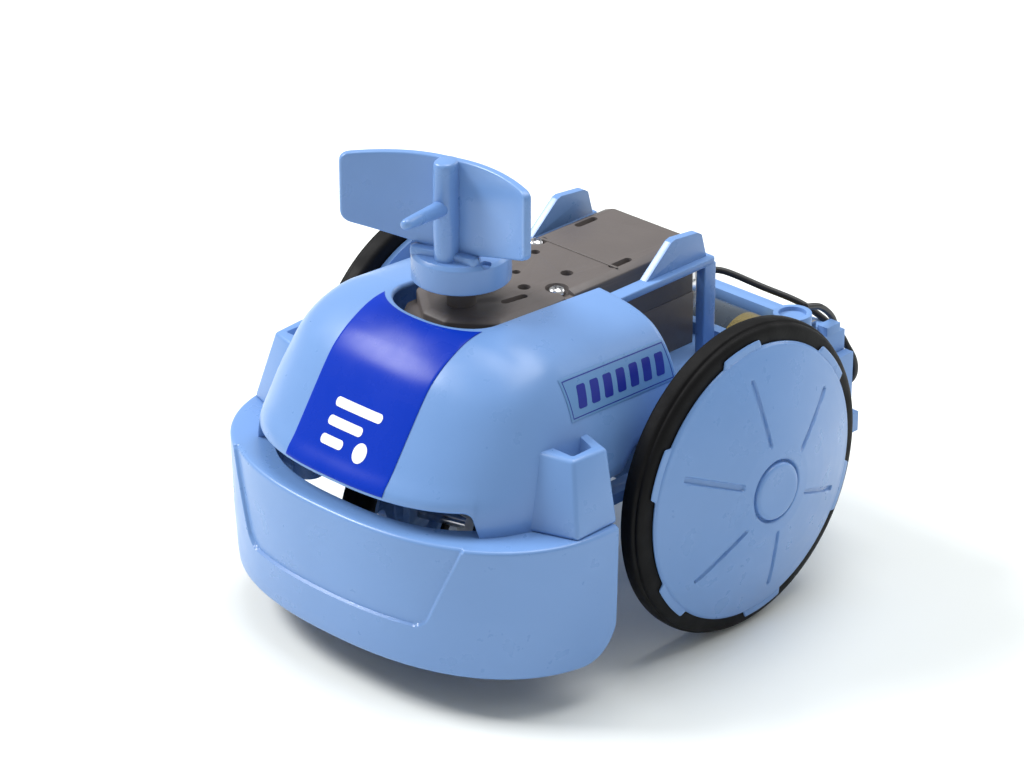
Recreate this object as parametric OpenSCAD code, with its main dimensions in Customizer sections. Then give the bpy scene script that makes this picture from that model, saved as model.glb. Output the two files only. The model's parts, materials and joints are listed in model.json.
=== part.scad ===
// Two-wheel robot car with a swivelling drive unit under a dome cover.
// Origin: floor level, centre of the bounding box. Front is -Y, up is +Z.

/* [Main wheels] */
// Radius of the rubber tyre of a main wheel
wheel_r = 30; // [28:0.5:30]
// Radius of the wheel axle
axle_r = 1.5; // [1:0.1:1.5]
// Number of radial grooves in a wheel disc
groove_n = 6; // [3:1:8]

/* [Drive unit] */
// Outer radius of a drive tyre
drive_r = 18; // [17:0.5:18]
// Distance of a drive wheel's inner face from the middle
drive_in = 10.5; // [10.5:0.1:11]

/* [Direction paddle] */
// Angle of the drive unit and paddle at rest, seen from above
swivel_rest = 15; // [0:15:345]
// Height of the top of the paddle
paddle_top = 91.3; // [88:0.1:91.3]
// Radius of the direction cap
cap_r = 9; // [7:0.1:9]

/* [Cover] */
// Thickness of the front bumper wall
wall = 2; // [1.6:0.1:2.2]
// Half width of the front stripe
stripe_w = 12.2; // [6:0.1:12.5]

/* [Gears] */
// Tooth module of the reduction gears
gear_m = 0.4833; // [0.48:0.0001:0.4834]
// Tooth module of the drive pinion and the axle crown gear
drive_m = 0.8; // [0.79:0.01:0.8]

/* [Hidden] */
$fn = 64;

ay = 12.25;            // the main axle lies this far behind the origin
swy = -31.2;           // swivel axis, forward of the main axle
ga_y = -19.6;          // gear arbor, forward of the main axle
axz = 30;              // height of the main axle
daz = drive_r;         // height of the drive axle
mz = 51.5;             // height of the motor shaft
blue = "#8DB2EC"; deepblue = "#2340B8"; grey = "#8C8781";
rubber = "#1C1C1E"; steel = "#B9BCC2"; white = "#E9E9E6"; brass = "#B89B5E";

// ---------- lofted cover surfaces ----------
// height, half width, front reach of the cover, outside and inside
cov_o = [[34, 34.3, 30.6], [39, 33.7, 30.2], [42.5, 33.2, 27.7], [46, 32.6, 25.3],
    [50, 31.4, 22.6], [53.5, 30.1, 20.2], [56.5, 28.4, 17.9], [58.8, 26.4, 15.4],
    [60.4, 24, 13], [61.6, 20.6, 10.9], [62.3, 16.8, 9.4], [62.7, 12.5, 8.3]];
cov_i = [[34, 32.5, 28.8], [39, 31.9, 28.4], [42.2, 31.4, 26], [45.4, 30.8, 23.6],
    [49.1, 29.6, 20.9], [52.4, 28.3, 18.6], [55, 26.6, 16.4], [57, 24.8, 14.2],
    [58.6, 22.6, 12.2], [59.9, 19.6, 10.5], [60.6, 16.2, 9.2], [61, 12.5, 8.3]];
cov_y = -34; cov_back = -8;
bum_o = [[8, 41.8, 29.6], [11, 42, 30], [20, 42.3, 30.6], [34, 42.5, 31]];
bum_y = -36; bum_back = -35.1;
pad_y = -3.4;          // the paddle stands in front of the swivel axis

function se(v, e) = pow(abs(v), e);
function sgn(v) = v < 0 ? -1 : 1;
// one ring of a loft: back right, round the front, back left
function ring(z, a, b, n, yc, yb, m, drop) = concat(
    [for (t = [0 : 2]) [a, yb + (yc - yb) * t / 3, z - drop * (1 - t / 3)]],
    [for (i = [0 : m]) let(f = 180 * i / m)
        [a * sgn(cos(f)) * se(cos(f), 2 / n), yc - b * se(sin(f), 2 / n), z]],
    [for (t = [2 : -1 : 0]) [-a, yb + (yc - yb) * t / 3, z - drop * (1 - t / 3)]]);
function flat2(v) = [for (r = v) for (p = r) p];
// closed shell between an outer and an inner grid of points
module grid_shell(O, I) {
    K = len(O); J = len(O[0]); o = K * J;
    f = concat(
        [for (k = [0 : K - 2]) for (j = [0 : J - 2]) [k * J + j, k * J + j + 1, (k + 1) * J + j + 1]],
        [for (k = [0 : K - 2]) for (j = [0 : J - 2]) [k * J + j, (k + 1) * J + j + 1, (k + 1) * J + j]],
        [for (k = [0 : K - 2]) for (j = [0 : J - 2]) [o + k * J + j, o + (k + 1) * J + j + 1, o + k * J + j + 1]],
        [for (k = [0 : K - 2]) for (j = [0 : J - 2]) [o + k * J + j, o + (k + 1) * J + j, o + (k + 1) * J + j + 1]],
        [for (j = [0 : J - 2]) each [[j + 1, j, o + j], [j + 1, o + j, o + j + 1]]],
        [for (j = [0 : J - 2]) let(t = (K - 1) * J) each [[t + j, t + j + 1, o + t + j + 1], [t + j, o + t + j + 1, o + t + j]]],
        [for (k = [0 : K - 2]) each [[k * J, (k + 1) * J, o + (k + 1) * J], [k * J, o + (k + 1) * J, o + k * J]]],
        [for (k = [0 : K - 2]) let(e = J - 1) each [[(k + 1) * J + e, k * J + e, o + k * J + e], [(k + 1) * J + e, o + k * J + e, o + (k + 1) * J + e]]]);
    polyhedron(concat(flat2(O), flat2(I)), f);
}
function cov_n(z) = z < 56 ? 2.6 : 2.6 - 0.5 * (z - 56) / 6.7;
function cov_a(z) = lookup(z, [for (s = cov_o) [s[0], s[1]]]);
function cov_b(z) = lookup(z, [for (s = cov_o) [s[0], s[2]]]);
function cov_drop(z) = 1.3 * (z - 34) / 28.7;
function cov_x(y, z) = y > cov_y ? cov_a(z)
    : cov_a(z) * pow(max(0, 1 - pow((cov_y - y) / cov_b(z), cov_n(z))), 1 / cov_n(z));
function cov_f(x, z) = cov_y - cov_b(z) * pow(max(0, 1 - pow(abs(x) / cov_a(z), cov_n(z))), 1 / cov_n(z));

// ---------- gear teeth ----------
module tooth2(r0, r1, m) {
    polygon([[r0 - 0.2, -0.92 * m], [r1, -0.36 * m], [r1, 0.36 * m], [r0 - 0.2, 0.92 * m]]);
}
module spur(n, m, h, bore, ph = 0) {
    rp = n * m / 2; rr = rp - 1.08 * m; rt = rp + 0.78 * m;
    linear_extrude(h) difference() {
        union() {
            circle(r = rr);
            for (i = [0 : n - 1]) rotate(ph + i * 360 / n) tooth2(rr, rt, m);
        }
        circle(r = bore);
    }
}
// ring of n teeth that stand on z = 0, turned by ph pitches
module crown_teeth(n, ri, ro, h, w, ph = 0.5) {
    for (i = [0 : n - 1]) rotate((i + ph) * 360 / n)
        translate([ri, 0, 0]) rotate([90, 0, 90]) linear_extrude(ro - ri)
            polygon([[-w / 2, -0.3], [w / 2, -0.3], [w / 2, 0], [w * 0.3, h], [-w * 0.3, h], [-w / 2, 0]]);
}
module screw(r_head, h_head, r_sh, len) {
    // the head's top is at z = 0
    difference() {
        union() {
            translate([0, 0, -h_head]) cylinder(r = r_head, h = h_head);
            translate([0, 0, -len]) cylinder(r = r_sh, h = len - h_head / 2);
        }
        translate([-r_head * 0.55, -0.2, -0.5]) cube([r_head * 1.1, 0.4, 1]);
        translate([-0.2, -r_head * 0.55, -0.5]) cube([0.4, r_head * 1.1, 1]);
    }
}
// tube of radius r along points p, with sides s
function nrm(v) = v / norm(v);
function tang(p, i) = nrm(p[min(i + 1, len(p) - 1)] - p[max(i - 1, 0)]);
function cr(p0, p1, p2, p3, t) = 0.5 * (2 * p1 + (p2 - p0) * t + (2 * p0 - 5 * p1 + 4 * p2 - p3) * t * t
    + (3 * p1 - p0 - 3 * p2 + p3) * t * t * t);
function smooth_path(p, k) = concat([for (i = [0 : len(p) - 2]) for (j = [0 : k - 1])
    cr(p[max(0, i - 1)], p[i], p[i + 1], p[min(len(p) - 1, i + 2)], j / k)], [p[len(p) - 1]]);
module tube(p, r, s) {
    n = len(p);
    pts = [for (i = [0 : n - 1]) let(t = tang(p, i), u = nrm(cross(t, [0.31, 0.22, 0.92])), v = cross(t, u))
        for (j = [0 : s - 1]) p[i] + r * (cos(360 * j / s) * u + sin(360 * j / s) * v)];
    f = concat([for (i = [0 : n - 2]) for (j = [0 : s - 1])
            each [[i * s + j, (i + 1) * s + j, (i + 1) * s + (j + 1) % s], [i * s + j, (i + 1) * s + (j + 1) % s, i * s + (j + 1) % s]]],
        [[for (j = [0 : s - 1]) j]], [[for (j = [s - 1 : -1 : 0]) (n - 1) * s + j]]);
    polyhedron(pts, f);
}
module at_axle() { translate([0, ay, 0]) children(); }
module at_swivel() { translate([0, ay + swy, 0]) rotate(swivel_rest) children(); }
module side(s) { if (s > 0) children(); else mirror([1, 0, 0]) children(); }
module xcyl(r, x0, x1) { translate([x0, 0, 0]) rotate([0, 90, 0]) cylinder(r = r, h = x1 - x0); }

// ---------- chassis ----------
module chassis() color(blue) at_axle() difference() {
    union() {
        // rear tray
        translate([-33, -5, 22]) cube([66, 46.5, 2]);
        for (s = [-1, 1]) side(s) {
            translate([31, -5, 22]) cube([2, 46.5, 17.2]);
            // front rails beside the drive unit
            translate([27, -50, 29.8]) cube([4, 45.2, 2.2]);
            translate([27, -5, 24]) cube([4, 2, 8]);
            // axle bearing
            translate([0, 0, axz]) { xcyl(4.2, 28, 34.8); }
            translate([28, -3, 24]) cube([3.1, 6, 6]);
            translate([16, -5, 24]) cube([1.6, 26, 5]);
        }
        translate([-31, -5, 22]) cube([62, 1.8, 17.2]);
        translate([-31, 39.7, 22]) cube([62, 1.8, 12]);
        // deck that carries the gearbox
        translate([-15, -44, 39.2]) cube([30, 65.5, 1.8]);
        translate([-33, -5, 39.2]) cube([66, 25, 1.8]);
        translate([0, swy, 39.2]) cylinder(r = 17, h = 1.8);
        for (s = [-1, 1]) side(s) {
            translate([12, -38, 39.2]) cube([15, 6, 1.8]);
            translate([25.4, -38, 29.8]) cube([1.8, 6, 11.2]);
        }
    }
    translate([0, 0, axz]) xcyl(axle_r, -50, 50);
    translate([0, swy, 38]) cylinder(r = 3.5, h = 5);
    for (x = [-7, 7]) for (y = [4, 14]) translate([x, y, 38]) cylinder(r = 1, h = 5);
    for (s = [-1, 1]) side(s) {
        translate([34.1, -37.8, 28]) cylinder(r = 1, h = 6);
        for (y = [12, 24]) translate([22, y, 21]) cylinder(r = 4.5, h = 4);
    }
    translate([-9, 8, 21]) cube([18, 20, 4]);
    for (s = [-1, 1]) side(s) translate([26, 39.25, 26]) cube([9, 4, 16]);
}

function bring(z, a, b) = ring(z, a, b, 2.35, bum_y, bum_back, 44, 0);
module ledge2(a, b, n, yc, yb) {
    polygon(concat([[a, yb]], [for (i = [0 : 44]) let(f = 180 * i / 44)
        [a * sgn(cos(f)) * se(cos(f), 2 / n), yc - b * se(sin(f), 2 / n)]], [[-a, yb]]));
}
module front_bumper() color(blue) at_axle() difference() {
    union() {
        difference() {
            grid_shell([for (s = bum_o) bring(s[0], s[1], s[2])],
                [for (s = bum_o) bring(s[0], s[1] - wall, s[2] - wall)]);
            // sunk front panel
            intersection() {
                grid_shell([for (s = bum_o) bring(s[0] + (s[0] < 10 ? 8 : (s[0] > 30 ? 1 : 6)), s[1] + 1, s[2] + 1)],
                    [for (s = bum_o) bring(s[0] + (s[0] < 10 ? 8 : (s[0] > 30 ? 1 : 6)), s[1] - 0.5, s[2] - 0.5)]);
                translate([0, -50, 0]) rotate([90, 0, 0]) linear_extrude(30)
                    polygon([[-29.2, 36], [29.2, 36], [24.6, 20], [22.1, 17.6], [19, 17], [-19, 17], [-22.1, 17.6], [-24.6, 20]]);
            }
        }
        // top ledge
        translate([0, 0, 32]) linear_extrude(2) difference() {
            ledge2(41.2, 29.7, 2.35, bum_y, bum_back);
            ledge2(31.2, 27.6, 2.6, cov_y, cov_back);
        }
        // screw bosses
        for (s = [-1, 1]) side(s) {
            translate([34.1, -37.8, 18]) cylinder(r = 3, h = 14.5, $fn = 32);
            translate([34.1, -38.6, 18]) cube([7, 1.6, 14.2]);
        }
    }
    for (s = [-1, 1]) side(s) {
        translate([34.1, -37.8, 19]) cylinder(r = 1.05, h = 16, $fn = 32);
        // rounded lower rear corner
        translate([30, -43, 15]) rotate([90, 0, 90]) linear_extrude(14) difference() {
            translate([0, -8]) square([9, 8.01]);
            circle(r = 7.9);
        }
        translate([39, -35.2, 24]) cube([4, 0.4, 0.01]);
    }
}

module dome_cover() color(blue) at_axle() difference() {
    union() {
        difference() {
            grid_shell([for (s = cov_o) ring(s[0], s[1], s[2], cov_n(s[0]), cov_y, cov_back, 36, cov_drop(s[0]))],
                [for (s = cov_i) ring(s[0], s[1], s[2], cov_n(s[0]), cov_y, cov_back, 36, cov_drop(s[0]))]);
            // slot over the bumper ledge
            translate([-27.4, -70, 30]) cube([54.8, 20, 9]);
            // lower edge of the sides
            for (s = [-1, 1]) side(s) {
                translate([20, -34.5, 30]) cube([20, 30, 8]);
                translate([20, 0, 0]) rotate([90, 0, 90]) linear_extrude(20)
                    polygon([[-26, 37.9], [-22.5, 39], [-20.8, 42], [0, 42], [0, 37.9]]);
            }
        }
        for (s = [-1, 1]) side(s) {
            // screw tower
            polyhedron([[28.2, -49, 34], [41.3, -44.4, 34], [41.3, -34.3, 34], [28.2, -33.6, 34],
                [27.6, -44.3, 47.5], [38.3, -41.7, 47.5], [38.6, -34.4, 47.5], [27.6, -33.2, 47.5]],
                [[0, 1, 2, 3], [7, 6, 5, 4], [4, 5, 1, 0], [5, 6, 2, 1], [6, 7, 3, 2], [7, 4, 0, 3]]);
            // arm beside the gearbox, its fin and its leg
            translate([13.4, -9, 58.8]) cube([3.2, 27.6, 1.4]);
            translate([13.5, 0, 0]) rotate([90, 0, 90]) linear_extrude(1.6)
                polygon([[0.4, 60], [7.6, 65.8], [8.6, 66.2], [15, 65.6], [16, 65], [17.6, 60]]);
            translate([14.4, 15.4, 41]) cube([2.2, 3.2, 18]);
        }
    }
    for (s = [-1, 1]) side(s) {
        translate([31, -40.6, 44]) cube([6.1, 6, 5]);
        translate([34.1, -37.8, 33]) cylinder(r = 1.05, h = 12, $fn = 32);
    }
}

function off_shell(a, d) = [for (r = a) [for (p = r) p + d * nrm([p[0] * 0.5, (p[1] - cov_y) * 0.9 - 4, (p[2] - 30) * 0.55])]];
module stripe_decal() color(deepblue) at_axle() {
    zs = [39.1, 42.5, 46, 50, 53.5, 56.5, 58.8, 60.4, 61.6, 62.2];
    g = [for (z = zs) [for (i = [8 : -1 : -8]) [stripe_w * i / 8, cov_f(stripe_w * i / 8, z), z]]];
    grid_shell(off_shell(g, 0.3), off_shell(g, 0.1));
}
module side_label() {
    ys = [-8.6, -13, -18, -23, -28, -33, -35.5];
    zs = [50.4, 52, 53.5, 55, 56.5, 57];
    function lp(y, z) = [cov_x(y, z), y, z - (y > cov_y ? cov_drop(z) * (y - cov_y) / 26 : 0)];
    g = [for (z = zs) [for (y = ys) lp(y, z)]];
    go = [for (k = [0 : len(zs) - 1]) [for (p = g[k]) p + 0.3 * nrm([1, 0, 0.25 + 0.11 * k])]];
    gi = [for (k = [0 : len(zs) - 1]) [for (p = g[k]) p + 0.1 * nrm([1, 0, 0.25 + 0.11 * k])]];
    grid_shell(go, gi);
}
module side_label_right() color(blue) at_axle() side_label();
module side_label_left() color(blue) at_axle() mirror([1, 0, 0]) side_label();

// ---------- gearbox ----------
module gb_plan(o) {
    polygon([[11.2 - o, 18.5], [11.2 - o, -33.9], [7.2 - o * 0.7, -39.6 + o * 0.7], [3, -41.7 + o],
        [-3, -41.7 + o], [-7.2 + o * 0.7, -39.6 + o * 0.7], [-11.2 + o, -33.9], [-11.2 + o, 18.5]]);
}
// plan of the visible top, which is shorter at the front
module gb_top(o) {
    polygon([[11.2 - o, 18.5], [11.2 - o, -31 + o * 0.4], [2.4, -38 + o],
        [-2.4, -38 + o], [-11.2 + o, -31 + o * 0.4], [-11.2 + o, 18.5]]);
}
module gear_space() {
    translate([0, swy, 42.6]) cylinder(r = 9.4, h = 16.1);
    translate([0, ga_y, 42.6]) cylinder(r = 9.4, h = 16.1);
    translate([-9.4, swy, 42.6]) cube([18.8, -4.2 - swy, 16.1]);
    // motor room, open at the back
    intersection() {
        translate([0, -0.2, mz]) rotate([-90, 0, 0]) cylinder(r = 10.1, h = 20);
        translate([-10.2, -0.2, 43.9]) cube([20.4, 20, 15.2]);
    }
    translate([0, -5, mz]) rotate([-90, 0, 0]) cylinder(r = 3.2, h = 6);
    translate([0, swy, 40]) cylinder(r = 3.26, h = 4);
    translate([0, ga_y, 41.6]) cylinder(r = 1, h = 19.6);
}
module slot2(x, y, a) { translate([x, y]) rotate(a) { square([4, 1.6], center = true); for (s = [-1, 1]) translate([s * 2, 0]) circle(r = 0.8); } }
module gearbox_lower_case() color(grey) at_axle() difference() {
    translate([0, 0, 41]) linear_extrude(mz - 41) gb_plan(0);
    gear_space();
    for (x = [-7, 7]) for (y = [4, 14]) translate([x, y, 40]) cylinder(r = 0.9, h = 3.4);
    translate([-9.5, -2.2, 47]) cylinder(r = 0.8, h = 6);
}
module gearbox_upper_case() color(grey) at_axle() difference() {
    union() {
        translate([0, 0, mz]) linear_extrude(59.3 - mz) gb_plan(0);
        translate([0, 0, 59.2]) linear_extrude(1.4) gb_top(0);
        translate([0, 0, 60.6]) linear_extrude(0.7) gb_top(0.4);
        translate([0, 0, 61.3]) linear_extrude(0.7) gb_top(1.2);
        translate([-9.8, -1.3, 61.5]) cube([19.6, 0.6, 0.7]);
        translate([0, swy, 61.9]) cylinder(r = 2.8, h = 4.8);
        translate([7.9, -14.9, 56.6]) cylinder(r = 1.6, h = 3);
    }
    difference() { gear_space(); translate([7.9, -14.9, 56.6]) cylinder(r = 1.6, h = 3); }
    translate([0, swy, 58]) cylinder(r = 1.56, h = 10);
    for (p = [[-9.5, -2.2], [7.9, -14.9]]) translate([p[0], p[1], 0]) {
        translate([0, 0, 61]) cylinder(r = 1.75, h = 2);
        translate([0, 0, 50]) cylinder(r = 0.8, h = 12);
    }
    for (p = [[-5.9, -6.2, 0.9], [-2.2, -15, 0.8], [4.7, -8.9, 0.9], [3.4, -18.7, 0.8]])
        translate([p[0], p[1], 60]) cylinder(r = p[2], h = 3);
    translate([0, 0, 60.6]) linear_extrude(3) { slot2(-8.6, 10.3, 90); slot2(8.6, 1.1, 90); slot2(5.7, -23.6, 60); }
}
module case_screws() color(steel) at_axle() {
    translate([-9.5, -2.2, 62.2]) screw(1.65, 1.2, 0.8, 14);
    translate([7.9, -14.9, 62.2]) screw(1.65, 1.2, 0.8, 5.4);
}
module tower_screws() color(steel) at_axle() for (s = [-1, 1]) side(s)
    translate([34.1, -37.8, 45.2]) screw(1.9, 1.2, 1, 22);
module deck_screws() color(steel) at_axle() for (x = [-7, 7]) for (y = [4, 14])
    translate([x, y, 38.1]) mirror([0, 0, 1]) screw(1.7, 1.1, 0.9, 5.1);
module gear_arbor() color(steel) at_axle() translate([0, ga_y, 41.6]) cylinder(r = 1, h = 19.4);

module motor_can() color(steel) at_axle() translate([0, 0, mz]) {
    difference() {
        intersection() {
            rotate([-90, 0, 0]) cylinder(r = 10.05, h = 20.6);
            translate([-11, 0, -7.55]) cube([22, 20.6, 15.1]);
        }
        translate([0, -1, 0]) rotate([-90, 0, 0]) cylinder(r = 1.1, h = 20);
    }
    difference() {
        translate([0, -1.7, 0]) rotate([-90, 0, 0]) cylinder(r = 3, h = 1.8);
        translate([0, -3, 0]) rotate([-90, 0, 0]) cylinder(r = 1.1, h = 5);
    }
}
module motor_end_bell() color(white) at_axle() translate([0, 20.6, mz]) {
    intersection() {
        rotate([-90, 0, 0]) cylinder(r = 9.7, h = 2.4);
        translate([-11, 0, -7.2]) cube([22, 2.4, 14.4]);
    }
    rotate([-90, 0, 0]) cylinder(r = 4.2, h = 4);
}
module motor_terminals() color(brass) at_axle() for (x = [-1, 1])
    translate([x * 6.6 - 1.1, 23, mz - 0.25]) cube([2.2, 3.6, 0.5]);
// shaft and small gear of the motor
module motor_pinion() color(brass) at_axle() translate([0, -8, mz]) rotate([90, 0, 0]) {
    spur(8, 0.5, 5.6, 0.5);
    translate([0, 0, -9.5]) cylinder(r = 1, h = 9.5);
    cylinder(r = 0.6, h = 5.6);
}
module crown_gear() color(white) at_axle() translate([0, ga_y, 0]) difference() {
    union() {
        translate([0, 0, 56.2]) spur(12, gear_m, 2.2, 1.04);
        translate([0, 0, 54.3]) cylinder(r = 7.9, h = 1.7);
        translate([0, 0, 55.9]) cylinder(r = 2.6, h = 0.4);
        translate([0, 0, 54.3]) mirror([0, 0, 1]) crown_teeth(30, 6.3, 7.9, 1, 0.58, 0);
        translate([0, 0, 49.6]) cylinder(r = 2.2, h = 5);
    }
    translate([0, 0, 40]) cylinder(r = 1.05, h = 22);
}
module second_gear() color(white) at_axle() translate([0, swy, 0]) difference() {
    union() {
        translate([0, 0, 56.4]) spur(36, gear_m, 1.8, 1.55, 5);
        translate([0, 0, 45.4]) spur(12, gear_m, 11.1, 1.55);
        translate([0, 0, 56.4]) cylinder(r = 2.6, h = 2.1);
    }
    translate([0, 0, 40]) cylinder(r = 1.56, h = 22);
}
module third_gear() color(white) at_axle() translate([0, ga_y, 0]) difference() {
    union() {
        translate([0, 0, 45.5]) spur(36, gear_m, 1.8, 1.04, 5);
        translate([0, 0, 42.9]) spur(12, gear_m, 2.7, 1.04);
        translate([0, 0, 45.5]) cylinder(r = 2.2, h = 3.7);
    }
    translate([0, 0, 40]) cylinder(r = 1.05, h = 22);
}
// wheel gear with its hollow shaft
module output_gear() color(white) at_axle() translate([0, swy, 0]) difference() {
    union() {
        translate([0, 0, 43]) spur(36, gear_m, 2, 1.56, 5);
        translate([0, 0, 25.4]) cylinder(r = 3.2, h = 19.6);
    }
    translate([0, 0, 24]) cylinder(r = 1.56, h = 24);
}
module drive_pinion() color(white) at_axle() translate([0, swy, 25.4])
    spur(12, drive_m, 4.2, 3.2, swivel_rest);

// ---------- swivelling drive unit ----------
module spindle() color(steel) at_swivel() translate([0, 0, 21.8]) cylinder(r = 1.5, h = 49.4);
module direction_cap() color(blue) at_swivel() difference() {
    union() {
        translate([0, 0, 67.2]) cylinder(r = cap_r, h = 4.8);
        translate([0, 0, 72]) cylinder(r1 = cap_r, r2 = cap_r - 0.6, h = 0.6);
    }
    translate([0, 0, 66]) cylinder(r = 1.5, h = 5.2);
    translate([-8.6, -1.2, 72]) cube([3, 2.4, 2]);
    translate([4.6, -0.9, 72]) cube([3.6, 1.8, 2]);
}
// outline of a wing seen from the front, and its curve seen from above
module wing_side() { offset(r = 1.6, $fn = 32) polygon([[-1, 74.8], [4, 75.1], [8.4, 76.2], [13.7, 77.8], [17.4, 79.4], [17.4, paddle_top - 2.2], [-1, paddle_top - 1.8]]); }
module direction_paddle() color(blue) at_swivel() {
    for (s = [-1, 1]) side(s) intersection() {
        linear_extrude(100) polygon(concat([for (i = [0 : 8]) let(x = i * 2.38) [x, pad_y - 0.0225 * pow(max(0, x - 2), 2) + 0.75]],
            [for (i = [8 : -1 : 0]) let(x = i * 2.38) [x, pad_y - 0.0225 * pow(max(0, x - 2), 2) - 0.75]]));
        translate([0, 20, 0]) rotate([90, 0, 0]) linear_extrude(60) wing_side();
    }
    translate([0, pad_y - 1.5, 72.6]) cylinder(r = 2.2, h = paddle_top - 72.6);
    translate([-7.2, pad_y - 2.5, 72.6]) cube([13.4, 3, 1.2]);
    translate([0, pad_y, 82.4]) rotate([90 - 7.3, 0, 0]) cylinder(r1 = 1.6, r2 = 1.05, h = 16.5);
}
module swivel_frame() color(blue) at_swivel() difference() {
    union() {
        translate([0, 0, 36.9]) cylinder(r = 24, h = 1.7);
        translate([0, 0, 32]) cylinder(r = 5.4, h = 5);
        for (s = [-1, 1]) side(s) {
            translate([8.7, -9, 24]) cube([1.4, 18, 13]);
            translate([8.7, -4.4, daz]) cube([1.4, 8.8, 7]);
            translate([0, 0, daz]) xcyl(4.4, 8.7, 10.1);
        }
        translate([-9, -3.5, 21.8]) cube([12.4, 7, 3]);
        translate([-9, -9, 32]) cube([18, 1.4, 5]);
        translate([-9, 7.6, 32]) cube([18, 1.4, 5]);
    }
    translate([0, 0, 30]) cylinder(r = 3.3, h = 12);
    translate([0, 0, 20]) cylinder(r = 1.5, h = 6);
    translate([0, 0, daz]) xcyl(1.56, -12, 12);
    for (a = [30 : 60 : 330]) rotate(a) translate([16.5, 0, 36]) cylinder(r = 3.2, h = 4);
}
module drive_axle() color(steel) at_swivel() translate([0, 0, daz]) xcyl(1.5, -17.5, 17.5);
module axle_crown_gear() color(white) at_swivel() translate([0, 0, daz]) difference() {
    union() {
        xcyl(10.8, 5.9, 8.1);
        xcyl(3, 3.6, 8.3);
        translate([5.9, 0, 0]) rotate([0, -90, 0]) crown_teeth(24, 8.4, 10.7, 1.45, 0.95);
    }
    xcyl(1.5, 0, 12);
}
module drive_hub() translate([0, 0, daz]) difference() {
    union() {
        xcyl(3, drive_in, drive_in + 6.4);
        xcyl(13.4, drive_in + 2.4, drive_in + 4);
        difference() { xcyl(14.2, drive_in + 0.4, drive_in + 5.6); xcyl(12.6, drive_in, drive_in + 6); }
    }
    xcyl(1.5, drive_in - 1, drive_in + 8);
    for (a = [0 : 60 : 300]) rotate([a, 0, 0]) translate([0, 8, 0]) xcyl(2.4, drive_in, drive_in + 6);
}
module drive_tyre() translate([0, 0, daz]) rotate([0, 90, 0]) rotate_extrude()
    polygon([[14.2, drive_in + 0.1], [drive_r - 1.2, drive_in], [drive_r - 0.3, drive_in + 0.6], [drive_r, drive_in + 1.6],
        [drive_r, drive_in + 4.4], [drive_r - 0.3, drive_in + 5.4], [drive_r - 1.2, drive_in + 6], [14.2, drive_in + 5.9]]);
module drive_hub_right() color(blue) at_swivel() drive_hub();
module drive_hub_left() color(blue) at_swivel() mirror([1, 0, 0]) drive_hub();
module drive_tyre_right() color(rubber) at_swivel() drive_tyre();
module drive_tyre_left() color(rubber) at_swivel() mirror([1, 0, 0]) drive_tyre();

// ---------- main wheels ----------
module main_axle() color(steel) at_axle() translate([0, 0, axz]) xcyl(axle_r, -46.3, 46.3);
module axle_collars() color(steel) at_axle() translate([0, 0, axz]) for (s = [-1, 1]) side(s)
    difference() { xcyl(2.8, 44.4, 46); xcyl(axle_r, 44, 47); }
module wheel_disc() translate([0, 0, axz]) {
    difference() {
        rotate([0, 90, 0]) rotate_extrude($fn = 120)
            polygon([[0, 48.9], [5, 48.9], [5.6, 48.5], [5.7, 48.1], [6.3, 48.1], [6.5, 48.35], [12, 47.25], [18, 45.65], [23, 44.05],
                [26, 43.05], [26.5, 42.75], [26.5, 42.3], [25.3, 42.3], [25.3, 37.3], [23.9, 37.3], [23.9, 41.9],
                [18, 44.15], [12, 45.75], [6, 46.9], [0, 47.2]]);
        for (a = [0 : groove_n - 1]) rotate([-22.2 + 360 / groove_n * a, 0, 0]) translate([44.02, 15.8, 0]) rotate([0, 0, 15])
            translate([1.6, -6.8, -0.55]) cube([2, 12.6, 1.1]);
    }
    // rim tabs over the tyre
    for (a = [-22.2 : 60 : 300]) rotate([a, 0, 0]) intersection() {
        difference() { xcyl(27.8, 42.35, 43.1); xcyl(26.3, 42, 44); }
        rotate([90, 0, 90]) linear_extrude(60) polygon([[0, 0], [30, -5.3], [30, 5.3]]);
    }
}
module wheel_disc_right() color(blue) at_axle() wheel_disc();
module wheel_disc_left() color(blue) at_axle() mirror([1, 0, 0]) wheel_disc();
module wheel_back() translate([0, 0, axz]) difference() {
    union() {
        xcyl(26.9, 36, 37.2);
        xcyl(3.6, 35.1, 44.1);
        difference() { xcyl(23.8, 37, 41); xcyl(22.4, 37, 42); }
        for (a = [0 : 60 : 300]) rotate([a, 0, 0]) translate([37, 3, -0.6]) cube([2.4, 20, 1.2]);
    }
    xcyl(axle_r + 0.05, 34, 46);
    for (a = [30 : 60 : 330]) rotate([a, 0, 0]) translate([0, 13.5, 0]) xcyl(5, 35, 38);
}
module wheel_back_right() color(blue) at_axle() wheel_back();
module wheel_back_left() color(blue) at_axle() mirror([1, 0, 0]) wheel_back();
module tyre() translate([0, 0, axz]) rotate([0, 90, 0]) rotate_extrude($fn = 120)
    polygon([[25.3, 37.5], [27.6, 37.3], [28.8, 37.5], [29.6, 38.1], [wheel_r - 0.05, 38.9], [wheel_r, 39.8], [wheel_r - 0.1, 40.4],
        [29.6, 40.7], [29.5, 41], [29.1, 41.6], [28.2, 42.1], [27.2, 42.25], [25.3, 42.2]]);
module tyre_right() color(rubber) at_axle() tyre();
module tyre_left() color(rubber) at_axle() mirror([1, 0, 0]) tyre();

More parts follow.
